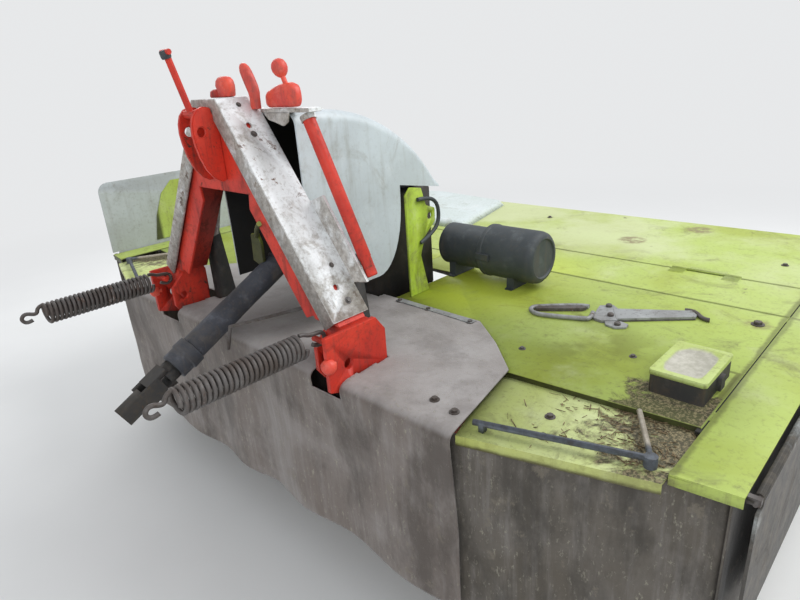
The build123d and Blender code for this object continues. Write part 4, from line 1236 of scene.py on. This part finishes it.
def documentTube():
    look, plastic = tubeLook, materials["plastic"]
    x0, y0, _ = look["start"]
    low, rim, shank = look["footZ"]
    pieces = [lathe("tube_" + key, look[key], look["start"], (1, 0, 0), plastic, "frame")
              for key in ("body", "lid")]
    for run, half, top in look["saddles"]:
        foot = half + look["foot"]
        rightSide = [(foot, low), (foot, rim), (half, shank), (half, top)]
        outline = [(y0 + y, z) for y, z in rightSide] + [(y0 - y, z) for y, z in reversed(rightSide)]
        x = x0 + run
        thick = (x - look["saddleHalf"], x + look["saddleHalf"])
        pieces.append(plate("saddle", outline, *thick, "x", plastic, "frame"))
    latch = [(x0 + run, y) for run, y in look["latch"]]
    pieces.append(plate("latch", latch, *look["latchZ"], "z", plastic, "frame"))
    stands(merged("document_case", pieces, "frame"), "document_tube")


documentTube()

# Guard over the drive shaft: tube with rings, ribbed bell at the gearbox
shaftLook = {
    "start": (0.0, 0.212, 1.0),
    "slope": 27.3,
    "from": 0.0683,
    "to": 0.560,
    "radius": 0.0365,
    # Distance along the guard, what is added to its radius
    "near": [(0.0006, 0.0), (0.05, 0.0), (0.053, 0.004), (0.060, 0.004), (0.063, 0.0), (0.150, 0.0),
             (0.152, -0.0008), (0.260, -0.0008), (0.262, 0.0)],
    # The same from its far end
    "far": [(-0.075, 0.0), (-0.072, 0.006), (-0.040, 0.007), (-0.036, 0.003), (-0.002, 0.003), (0.0, 0.0)],
    "bellStart": [(0.018, 0.0), (-0.004, 0.008), (-0.012, 0.012)],
    "bellEnd": [(-0.080, 0.0200), (-0.0795, 0.0170), (-0.012, 0.0070), (-0.001, -0.001)],
    # Number of ribs, first place, step, rise of valley and crest, growth from rib to rib, width
    "ribs": (7, -0.016, 0.0092, 0.0130, 0.0162, 0.0009, 0.0046),
    "core": 0.002,
}


def shaftGuard():
    look = shaftLook
    slope, radius = math.radians(look["slope"]), look["radius"]
    aim = Vector((0.0, -math.cos(slope), -math.sin(slope)))
    start = Vector(look["start"]) + aim * look["from"]
    long = look["to"] - look["from"]
    outer = look["near"] + [(long + run, rise) for run, rise in look["far"]]
    tube = [(outer[0][0], look["core"])] + [(run, radius + rise) for run, rise in outer]
    tube.append((long, look["core"]))
    count, first, step, valley, crest, growth, width = look["ribs"]
    bell = list(look["bellStart"])
    for rib in range(count):
        run = first - rib * step
        bell += [(run, valley + rib * growth), (run - width, crest + rib * growth)]
    bell = [(run, radius + rise) for run, rise in bell + look["bellEnd"]]
    pieces = [lathe("guard_tube", tube, start, aim, materials["guard"], "frame"),
              lathe("guard_bell", bell, start, aim, materials["plastic"], "frame")]
    stands(merged("shaft_cover", pieces, "frame"), "shaft_guard")


shaftGuard()

# Red caps on the head and on the top plate, cap on the lever, knobs at the feet
capLook = {
    "head": 1.4305,
    "plate": 1.3965,
    # Height above the head, middle and half sizes
    "low": [(0.0, -0.023, 0.031, 0.020, 0.014), (0.003, -0.023, 0.031, 0.027, 0.018),
            (0.018, -0.023, 0.031, 0.030, 0.019), (0.030, -0.026, 0.031, 0.033, 0.020),
            (0.042, -0.026, 0.031, 0.030, 0.018), (0.050, -0.026, 0.031, 0.022, 0.013),
            (0.053, -0.026, 0.031, 0.010, 0.006)],
    "base": [(0.0, -0.066, 0.026, 0.022, 0.014), (0.004, -0.066, 0.026, 0.024, 0.016),
             (0.016, -0.064, 0.026, 0.022, 0.015), (0.021, -0.062, 0.026, 0.014, 0.009),
             (0.022, -0.062, 0.026, 0.004, 0.003)],
    "fin": [(-0.033, 0.092, 0.042, 0.017, 0.010), (-0.006, 0.093, 0.042, 0.017, 0.010),
            (0.008, 0.092, 0.042, 0.019, 0.011), (0.024, 0.086, 0.042, 0.021, 0.012),
            (0.042, 0.077, 0.042, 0.021, 0.012), (0.060, 0.068, 0.042, 0.021, 0.011),
            (0.072, 0.063, 0.042, 0.017, 0.009), (0.079, 0.060, 0.042, 0.010, 0.006),
            (0.081, 0.059, 0.042, 0.003, 0.002)],
    # Place along X, then middle and half sizes in Y and in height above the plate
    "long": [(0.104, 0.074, 0.020, 0.002, 0.004), (0.108, 0.074, 0.020, 0.010, 0.016),
             (0.120, 0.075, 0.022, 0.016, 0.021), (0.145, 0.076, 0.026, 0.018, 0.025),
             (0.175, 0.077, 0.030, 0.019, 0.029), (0.205, 0.078, 0.031, 0.019, 0.030),
             (0.222, 0.078, 0.029, 0.017, 0.027), (0.231, 0.078, 0.027, 0.011, 0.018),
             (0.234, 0.078, 0.026, 0.003, 0.005)],
    "longPower": 3.2,
    # Distances along the axis and radii
    "knob": [(0.0, 0.002), (0.0, 0.0065), (0.026, 0.0065), (0.030, 0.012), (0.036, 0.017), (0.045, 0.0205),
             (0.055, 0.0205), (0.064, 0.017), (0.070, 0.010), (0.0715, 0.002)],
    "knobPlace": (0.190, 0.077, 0.050),
    "knobAim": (-0.38, -0.05, 1.0),
    "grip": [(0.0, 0.002), (0.0, 0.011), (0.004, 0.013), (0.016, 0.013), (0.020, 0.011), (0.021, 0.002)],
    "gripBack": 0.010,
    "gripDrop": 0.022,
    "gripAim": (0.0, -0.25, 1.0),
    "ball": [(0.0, 0.002), (0.0, 0.010), (0.008, 0.010), (0.010, 0.017), (0.020, 0.020), (0.030, 0.018),
             (0.037, 0.010), (0.038, 0.002)],
    "ballPlace": (0.463, -0.086, 0.815),
    "ballAim": (0.2, -1.0, 0.0),
}


def redCaps():
    look, red = capLook, materials["cap"]
    for key, material in (("low", red), ("base", materials["red"]), ("fin", red)):
        lofted("cap_" + key, [(look["head"] + up, *rest) for up, *rest in look[key]], material, "frame")
    rows = [(x, y, look["plate"] + up, halfY, halfZ) for x, y, up, halfY, halfZ in look["long"]]
    lofted("cap_long", rows, red, "frame", "x", look["longPower"])
    x, y, up = look["knobPlace"]
    lathe("cap_knob", look["knob"], (x, y, look["plate"] + up), look["knobAim"], red, "frame", 32)
    low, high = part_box("lock_lever")
    top = Vector(((low.x + high.x) / 2, low.y + look["gripBack"], high.z - look["gripDrop"])) + hitchShift
    lathe("lever_cap", look["grip"], top, look["gripAim"], materials["plastic"], "frame", 28)
    for side, label in bothSides:
        place, aim = ((side * x, y, z) for x, y, z in (look["ballPlace"], look["ballAim"]))
        lathe("foot_knob_" + label, look["ball"], place, aim, red, "frame", 28)


redCaps()

# Ears for the top link, with rounded ends and a bore
earLook = {
    "outline": [(-0.0455, 1.222), (-0.0455, 1.386), (-0.060, 1.396), (-0.060, 1.410), (-0.082, 1.414),
                (-0.099, 1.408), (-0.112, 1.394), (-0.119, 1.374), (-0.121, 1.350), (-0.118, 1.322),
                (-0.111, 1.290), (-0.098, 1.256), (-0.080, 1.232), (-0.060, 1.220)],
    "hole": (-0.095, 1.352),
    "holeRadius": 0.0128,
    "near": 0.0262,
    "wall": 0.0136,
    "sharp": 50.0,
    "edge": 0.0025,
}


def topEars():
    look = earLook
    y0, z0 = look["hole"]
    bore = [(y0 + look["holeRadius"] * c, z0 + look["holeRadius"] * d) for c, d in circle(24)]
    pieces = []
    for side, _ in bothSides:
        shape = bmesh.new()
        rings = [[shape.verts.new(at(side * look["near"], y, z)) for y, z in ring]
                 for ring in (look["outline"], bore)]
        edges = [shape.edges.new((ring[i - 1], ring[i])) for ring in rings for i in range(len(ring))]
        bmesh.ops.triangle_fill(shape, use_beauty=True, edges=edges)
        raised(shape, list(shape.faces), (side * look["wall"], 0, 0))
        flattened(shape)
        edgesRounded(shape, look["sharp"], look["edge"])
        pieces.append(finished("ear", shape, materials["red"], "frame"))
    stands(merged("top_ears", pieces, "frame"), "top_link_ears")


topEars()

# Stay tubes with a pale collar at the top
stayLook = {
    "top": (0.248, 0.0853, 1.379),
    "foot": (0.440, 0.0853, 0.985),
    "radius": 0.0168,
    # Distance from the top, what is added to the radius
    "near": [(0.0, -0.003), (0.003, 0.0)],
    # The same from the foot
    "far": [(-0.052, 0.0), (-0.050, -0.0015), (-0.003, -0.0015), (0.0, -0.004)],
    "core": 0.002,
    "collar": [(0.0, 0.0), (0.0, 0.0035), (0.014, 0.0035), (0.014, 0.0)],
    "collarPlace": 0.004,
}


def stayTube(side, label):
    look, radius = stayLook, stayLook["radius"]
    start, end = (Vector((side * x, y, z)) for x, y, z in (look["top"], look["foot"]))
    down = end - start
    long = down.length
    outer = look["near"] + [(long + run, rise) for run, rise in look["far"]]
    tube = [(0.0, look["core"])] + [(run, radius + rise) for run, rise in outer] + [(long, look["core"])]
    stay = lathe("stay_" + label, tube, start, down, materials["red"], "frame", 40)
    stands(stay, "stay_tubes")
    collar = [(run, radius + rise) for run, rise in look["collar"]]
    place = start + down * look["collarPlace"]
    ring = lathe("stay_collar_" + label, collar, place, down, materials["white"], "frame", 40)


# Inner flanges of the coupler's legs, from the top of the leg: how far down it, and how far in
flangeLook = {
    "top": (0.062, 1.430),
    "down": (0.5888, -0.8082),
    "in": (-0.8082, -0.5888),
    "outline": [(0.225, 0.078), (0.598, 0.078), (0.590, 0.116), (0.262, 0.116)],
    "y": (-0.0448, -0.0370),
    "edge": 0.0014,
}


def legFlange(side, label):
    look = flangeLook
    outline = []
    for run, inner in look["outline"]:
        x, z = (top + down * run + inward * inner
                for top, down, inward in zip(look["top"], look["down"], look["in"]))
        outline.append((side * x, z))
    red, edge = materials["red"], look["edge"]
    piece = plate("coupler_flange_" + label, outline, *look["y"], "y", red, "frame", edge)


for side, label in bothSides:
    stayTube(side, label)
    legFlange(side, label)

# Single plates: outline, thickness, the axis that it is thick along, material, body, edge radius, slot
plateTable = {
    "latch_plate": (
        [(0.092, 1.3855), (0.205, 1.3855), (0.196, 1.362), (0.176, 1.352), (0.140, 1.362), (0.112, 1.368)],
        (0.0600, 0.0660), "y", "white", "frame", 0.0014, "white_paint"),
    # Lime stiffener on the inner side of the raised flap
    "flap_plate": (
        [(0.296, 0.778), (0.32, 0.895), (0.363, 0.995), (0.42, 1.048), (0.607, 1.046), (0.534, 0.778)],
        (-1.3316, -1.3266), "x", "lime", "flap_left", 0.0010, "lime_paint"),
    # Near-black strips under the gaps between the decks and the wings, standing in for the shade in the gaps
    "seam_shade_right": (
        [(1.192, 0.232), (1.214, 0.232), (1.214, 1.66), (1.192, 1.66)],
        (0.7505, 0.7564), "z", "gapShade", "frame", 0.0008, None),
    "seam_shade_left": (
        [(-1.192, 0.232), (-1.214, 0.232), (-1.214, 1.66), (-1.192, 1.66)],
        (0.7505, 0.7564), "z", "gapShade", "frame", 0.0008, None),
    # Plate by the gearbox
    "lime_tab": (
        [(-0.052, 0.955), (-0.022, 0.945), (0.004, 0.958), (0.004, 1.018), (-0.010, 1.046), (-0.046, 1.040)],
        (0.046, 0.056), "y", "lime", "frame", 0.002, None),
}
for name, (outline, (low, high), across, material, body, edge, slot) in plateTable.items():
    piece = plate(name, outline, low, high, across, materials[material], body, edge)

# Bent rods: strap round the bracket's eye, strap by the gearbox
rodTable = {
    "eye_strap": (0.0065, "plastic", [(0.221, 0.505, 1.079), (0.221, 0.560, 1.078), (0.221, 0.604, 1.050),
                                      (0.221, 0.606, 0.985), (0.221, 0.565, 0.952), (0.219, 0.512, 0.934)]),
    "lime_strap": (0.007, "lime", [(0.168, -0.050, 1.118), (0.10, -0.020, 1.085), (0.02, 0.028, 1.052),
                                   (-0.02, 0.05, 1.034)]),
}
for name, (radius, material, points) in rodTable.items():
    wire(name, [at(*point) for point in points], radius, materials[material], "frame")

# Knife tool: looped grip, cross plates, tapered blade and a hooked end, as distances along it and to its side
toolLook = {
    "place": (0.608, 0.568),
    "turn": 27.5,
    "level": 0.7603,
    # name: points, radius, height, material
    "rods": {
        "grip": ([(0.165, 0.046), (0.148, 0.055), (0.030, 0.034), (0.004, 0.026), (-0.006, 0.006),
                  (0.006, -0.022),
                  (0.034, -0.036), (0.150, -0.050), (0.170, -0.044), (0.176, 0.0)], 0.0068, 0.0072, "zinc"),
        "hook": ([(0.430, 0.052), (0.450, 0.050), (0.460, 0.030), (0.464, 0.006), (0.474, -0.012),
                  (0.484, -0.014)], 0.0060, 0.0062, "steel"),
    },
    # name: outline, lower and upper side, material
    "flats": {
        "grip_plate": ([(0.010, 0.006), (0.012, 0.026), (0.150, 0.052), (0.160, 0.034), (0.146, 0.022)],
                       0.0, 0.0105, "steel"),
        "cross": ([(0.176, -0.040), (0.184, 0.010), (0.196, 0.058), (0.236, 0.066), (0.254, 0.024),
                   (0.240, -0.052), (0.196, -0.058)], 0.0, 0.0085, "zinc"),
        "blade": ([(0.232, 0.034), (0.448, 0.044), (0.456, 0.014), (0.450, -0.004), (0.238, -0.044)],
                  0.0030, 0.0098, "zinc"),
        # Painted shadow: a dark steel strip along the blade's lower edge stands in for its shaded side and
        # its shadow
        "blade_shade": ([(0.238, -0.046), (0.450, -0.006), (0.452, 0.000), (0.240, -0.034)],
                       0.0, 0.0030, "steel"),
        "foot": ([(0.206, -0.050), (0.252, -0.052), (0.270, -0.070), (0.262, -0.092), (0.232, -0.098),
                  (0.208, -0.078)], 0.0, 0.0060, "zinc"),
    },
    "edge": 0.0012,
    "stud": [(0.0, 0.002), (0.0, 0.009), (0.006, 0.009), (0.008, 0.007), (0.008, 0.002)],
    "studs": [(0.222, 0.050, 0.0085), (0.224, -0.020, 0.0085), (0.240, -0.078, 0.0060)],
}


def toolAt(run, side, up=0.0):
    turn = math.radians(toolLook["turn"])
    x0, y0 = toolLook["place"]
    x = x0 + run * math.cos(turn) - side * math.sin(turn)
    y = y0 + run * math.sin(turn) + side * math.cos(turn)
    return x, y, toolLook["level"] + up


def knifeTool():
    look, level = toolLook, toolLook["level"]
    pieces = []
    for name, (points, radius, up, material) in look["rods"].items():
        places = [at(*toolAt(run, side, up)) for run, side in points]
        pieces.append(wire(name, places, radius, materials[material], "frame"))
    for name, (outline, low, high, material) in look["flats"].items():
        outline = [toolAt(run, side)[:2] for run, side in outline]
        thick = (level + low, level + high)
        pieces.append(plate(name, outline, *thick, "z", materials[material], "frame", look["edge"]))
    for place in look["studs"]:
        pieces.append(lathe("stud", look["stud"], toolAt(*place), (0, 0, 1), materials["steel"], "frame", 20))
    stands(merged("knife_lever", pieces, "frame"), "knife_tool")


knifeTool()
print("fittings made")

# Straw and chaff on the right rear deck, thickest by the wing and the knife box
chaffLook = {
    "density": 21000.0,
    "seed": 7,
    "level": 0.7467,
    "grid": (26, 40),
    "startX": 0.770,
    "long": 0.425,
    # The deck's rear edge runs forward and the patch narrows towards the wing
    "startY": -0.045,
    "slant": 0.100,
    "deep": 0.262,
    "narrowing": 0.025,
    "bareUntil": 0.12,
    "growth": 1.3,
    "bySide": (0.35, 0.65),
    "byDepth": (0.55, 0.6),
    "edgeShare": 0.25,
    "patchScale": 9.0,
    "patchEdge": (0.40, 0.62),
    "stalk": (0.0009, 0.012),
    "tilt": ((1.25, -0.3, 0.0), (1.75, 0.3, 6.28)),
    "size": ((0.5, 0.5, 0.35), (1.6, 1.6, 2.6)),
    "colours": ((0.23, 0.165, 0.085), (0.065, 0.045, 0.028)),
    "rough": (0.85, 0.1),
}


def chaffTree(look, material):
    tree = geometryTree("chaff", [("Ground", "Geometry", None), ("Density", "Float", look["density"]),
                                  ("Seed", "Int", look["seed"])])
    given = node(tree, "NodeGroupInput")
    place = node(tree, "GeometryNodeInputPosition")
    patch = node(tree, "ShaderNodeTexNoise",
                 {"Vector": place.outputs[0], "Scale": look["patchScale"], "Detail": 3.0})
    share = node(tree, "GeometryNodeInputNamedAttribute", {"Name": "thick"}, data_type="FLOAT")
    low, high = look["patchEdge"]
    level = node(tree, "ShaderNodeMapRange",
                 {"Value": patch.outputs["Fac"], "From Min": low, "From Max": high})
    both = node(tree, "ShaderNodeMath", {0: level.outputs[0], 1: share.outputs[0]}, operation="MULTIPLY")
    dense = node(tree, "ShaderNodeMath", {0: both.outputs[0], 1: given.outputs["Density"]},
                 operation="MULTIPLY")
    spread = node(tree, "GeometryNodeDistributePointsOnFaces",
                  {"Mesh": given.outputs["Ground"], "Density": dense.outputs[0],
                   "Seed": given.outputs["Seed"]})
    radius, depth = look["stalk"]
    straw = node(tree, "GeometryNodeMeshCylinder", {"Vertices": 3, "Radius": radius, "Depth": depth})
    tilt, size = (node(tree, "FunctionNodeRandomValue",
                       {0: look[key][0], 1: look[key][1], "Seed": look["seed"] + more},
                       data_type="FLOAT_VECTOR") for more, key in ((1, "tilt"), (2, "size")))
    placed = node(tree, "GeometryNodeInstanceOnPoints",
                  {"Points": spread.outputs[0], "Instance": straw.outputs[0], "Rotation": tilt.outputs[0],
                   "Scale": size.outputs[0]})
    return dressed(tree, placed.outputs[0], material)


def chaffGround(look):
    # The patch that catches chaff, with how thick it lies at each point.
    rows, columns = look["grid"]
    points, thick = [], []
    for row in range(rows + 1):
        for column in range(columns + 1):
            s, t = column / columns, row / rows
            x = look["startX"] + look["long"] * s
            y = look["startY"] + look["slant"] * s + (look["deep"] - look["narrowing"] * s) * t
            points.append(tuple(at(x, y, look["level"])))
            start, gain = look["bySide"]
            near = max(0.0, s - look["bareUntil"]) ** look["growth"] * (start + gain * s)
            start, gain = look["byDepth"]
            byEdge = look["edgeShare"] if t < look["bareUntil"] else 1.0
            thick.append(min(1.0, near * (start + gain * t)) * byEdge)
    mesh = bpy.data.meshes.new("chaff_ground")
    mesh.from_pydata(points, [], gridFaces(rows, columns))
    share = mesh.attributes.new("thick", "FLOAT", "POINT")
    share.data.foreach_set("value", thick)
    return mesh


def strawMaterial(look):
    s = Surface("straw")
    tone = s.grain("strawTone")
    s.colour(s.mix(tone, *look["colours"]))
    s.rough(tone * look["rough"][1] + look["rough"][0])
    return s.material


grown("chaff", chaffTree(chaffLook, strawMaterial(chaffLook)), "frame", chaffGround(chaffLook))
print("chaff spread")

# Bolts and rivets: place, direction and size of each
boltLook = {"head": 0.0075, "height": 0.0055, "washer": 0.012, "washerThick": 0.003}
channelOut = (0.808, 0, 0.589)
channelOutLeft = (-0.808, 0, 0.589)
upright = (0, 0, 1)
boltTable = [
    # place, aim, size
    ((0.075, 0.001, 1.4115), channelOut, 0.6),
    ((0.128, 0.0, 1.339), channelOut, 0.75),
    ((0.361, 0.020, 1.019), channelOut, 0.6),
    ((0.420, 0.014, 0.938), channelOut, 0.8),
    ((-0.075, 0.001, 1.4115), channelOutLeft, 0.6),
    ((-0.128, 0.0, 1.339), channelOutLeft, 0.75),
    ((0.049, 1.626, 0.760), upright, 1.0),
    ((1.086, 1.399, 0.760), upright, 1.0),
    ((1.149, 0.833, 0.760), upright, 1.4),
    ((0.721, 0.340, 0.760), upright, 0.8),
    ((0.966, 0.462, 0.760), upright, 0.8),
    ((0.712, -0.005, 0.7665), upright, 1.0),
    ((0.780, -0.018, 0.7665), upright, 1.0),
    ((0.221, 0.396, 0.7665), upright, 1.0),
    ((0.346, 0.392, 0.7665), upright, 1.0),
    ((0.512, 0.388, 0.7665), upright, 1.0),
    ((0.934, 0.119, 0.745), upright, 1.0),
    ((0.961, 0.045, 0.745), upright, 1.0),
]


def boltTree(look, material):
    tree = geometryTree("bolts", [("Points", "Geometry", None), ("Head", "Float", look["head"]),
                                  ("Height", "Float", look["height"]), ("Washer", "Float", look["washer"])])
    given = node(tree, "NodeGroupInput")
    head = node(tree, "GeometryNodeMeshCylinder", {"Vertices": 6, "Radius": given.outputs["Head"],
                                                   "Depth": given.outputs["Height"]})
    lift = (look["height"] + look["washerThick"]) / 2
    lifted = node(tree, "GeometryNodeTransform", {"Geometry": head.outputs[0], "Translation": (0, 0, lift)})
    washer = node(tree, "GeometryNodeMeshCylinder", {"Vertices": 20, "Radius": given.outputs["Washer"],
                                                     "Depth": look["washerThick"]})
    both = node(tree, "GeometryNodeJoinGeometry")
    tree.links.new(lifted.outputs[0], both.inputs[0])
    tree.links.new(washer.outputs[0], both.inputs[0])
    aim = node(tree, "GeometryNodeInputNamedAttribute", {"Name": "aim"}, data_type="FLOAT_VECTOR")
    size = node(tree, "GeometryNodeInputNamedAttribute", {"Name": "size"}, data_type="FLOAT")
    turn = node(tree, "FunctionNodeAlignRotationToVector", {"Vector": aim.outputs[0]}, axis="Z")
    placed = node(tree, "GeometryNodeInstanceOnPoints",
                  {"Points": given.outputs["Points"], "Instance": both.outputs[0],
                   "Rotation": turn.outputs[0],
                   "Scale": size.outputs[0]})
    return dressed(tree, placed.outputs[0], material)


def boltPoints(rows):
    mesh = bpy.data.meshes.new("bolt_points")
    mesh.from_pydata([tuple(at(*place)) for place, aim, size in rows], [], [])
    aims = mesh.attributes.new("aim", "FLOAT_VECTOR", "POINT")
    aims.data.foreach_set("vector", [part for place, aim, size in rows for part in aim])
    sizes = mesh.attributes.new("size", "FLOAT", "POINT")
    sizes.data.foreach_set("value", [size for place, aim, size in rows])
    return mesh


grown("deck_bolts", boltTree(boltLook, materials["steel"]), "frame", boltPoints(boltTable))
print("bolts made")

# Floor, backdrop and light
backdropPale = (0.80, 0.81, 0.82, 1.0)
floorLook = {
    "half": 40.0,
    "tones": ((0.74, 0.74, 0.73), (0.78, 0.78, 0.77)),
    "rough": (0.82, 0.08),
    "fade": (2.2, 6.5),
}


def lightPath(tree, *kinds):
    # One for the rays of the given kinds.
    path = node(tree, "ShaderNodeLightPath")
    seen = Socket(tree, path.outputs["Is %s Ray" % kinds[0]])
    for kind in kinds[1:]:
        seen = seen.higher(Socket(tree, path.outputs["Is %s Ray" % kind]))
    return seen


def floorMaterial(look):
    # Far from the object the floor fades into the pale backdrop.
    s = Surface("floor_pale")
    s.colour(s.mix(s.grain("floorTone"), *look["tones"]))
    s.rough(s.grain("floorSkin") * look["rough"][1] + look["rough"][0])
    away = ((s.x * s.x + s.y * s.y) ** 0.5).step(*look["fade"])
    pale = node(s.tree, "ShaderNodeEmission", {"Color": backdropPale, "Strength": 1.0})
    chosen = node(s.tree, "ShaderNodeMixShader",
                  {0: away * lightPath(s.tree, "Camera"), 1: s.shader.outputs[0], 2: pale.outputs[0]})
    s.tree.links.new(chosen.outputs[0], s.tree.nodes["Material Output"].inputs[0])
    return s.material


def makeFloor(look):
    half = look["half"]
    mesh = bpy.data.meshes.new("floor")
    corners = [(-half, -half, 0), (half, -half, 0), (half, half, 0), (-half, half, 0)]
    mesh.from_pydata(corners, [], [(0, 1, 2, 3)])
    mesh.materials.append(floorMaterial(look))
    linked("floor", mesh)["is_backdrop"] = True


skyLook = {"colour": (0.90, 0.93, 0.97, 1.0), "strength": 0.78}


def makeWorld(look):
    # Lights softly, and shows camera, mirror and glass rays the pale backdrop.
    world = bpy.data.worlds.new("studio")
    bpy.context.scene.world = world
    world.use_nodes = True
    tree = world.node_tree
    sky = tree.nodes["Background"]
    sky.inputs[0].default_value = look["colour"]
    sky.inputs[1].default_value = look["strength"]
    pale = node(tree, "ShaderNodeBackground", {"Color": backdropPale, "Strength": 1.0})
    seen = lightPath(tree, "Camera", "Glossy", "Transmission")
    chosen = node(tree, "ShaderNodeMixShader", {0: seen, 1: sky.outputs[0], 2: pale.outputs[0]})
    tree.links.new(chosen.outputs[0], tree.nodes["World Output"].inputs[0])


makeFloor(floorLook)
makeWorld(skyLook)
lampTable = {
    # name: place, target, size, power
    "key": ((2.8, 3.4, 5.0), (0.0, 0.7, 0.5), 3.4, 210.0),
    "fill": ((3.6, -4.2, 3.6), (0.2, 0.2, 0.5), 3.6, 80.0),
    "back": ((-4.0, 2.0, 3.4), (0.0, 0.6, 0.6), 3.0, 55.0),
}
for name, (place, target, size, power) in lampTable.items():
    light = bpy.data.lights.new(name, "AREA")
    light.shape = "DISK"
    light.size = size
    light.energy = power
    lamp = linked(name, light)
    lamp.location = at(*place)
    lamp.rotation_euler = (at(*target) - at(*place)).to_track_quat("-Z", "Y").to_euler()

# The photo's camera: place, turn in degrees, and focal length in pixels of an 800 pixel wide picture
cameraLook = {
    "place": (1.492, -0.868, 1.463),
    "yaw": 45.18,
    "pitch": 21.137,
    "roll": 4.057,
    "focal": 588.5,
    "picture": 800,
    "sensor": 36.0,
    "nearest": 0.05,
}


def makeCamera(look):
    yaw, pitch, roll = (math.radians(look[key]) for key in ("yaw", "pitch", "roll"))
    ahead = Vector((-math.sin(yaw) * math.cos(pitch), math.cos(yaw) * math.cos(pitch), -math.sin(pitch)))
    right = Vector((math.cos(yaw), math.sin(yaw), 0.0))
    down = ahead.cross(right)
    levelRight = right * math.cos(roll) + down * math.sin(roll)
    levelDown = down * math.cos(roll) - right * math.sin(roll)
    view = bpy.data.cameras.new("view")
    view.sensor_width = look["sensor"]
    view.lens = look["focal"] / look["picture"] * look["sensor"]
    view.clip_start = look["nearest"]
    camera = linked("view", view)
    turn = Matrix((levelRight, -levelDown, -ahead)).transposed().to_4x4()
    camera.matrix_world = Matrix.Translation(at(*look["place"])) @ turn
    bpy.context.scene.camera = camera


makeCamera(cameraLook)
bpy.context.scene.view_settings.view_transform = "Standard"
print("stage, light and camera made")

low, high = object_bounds()
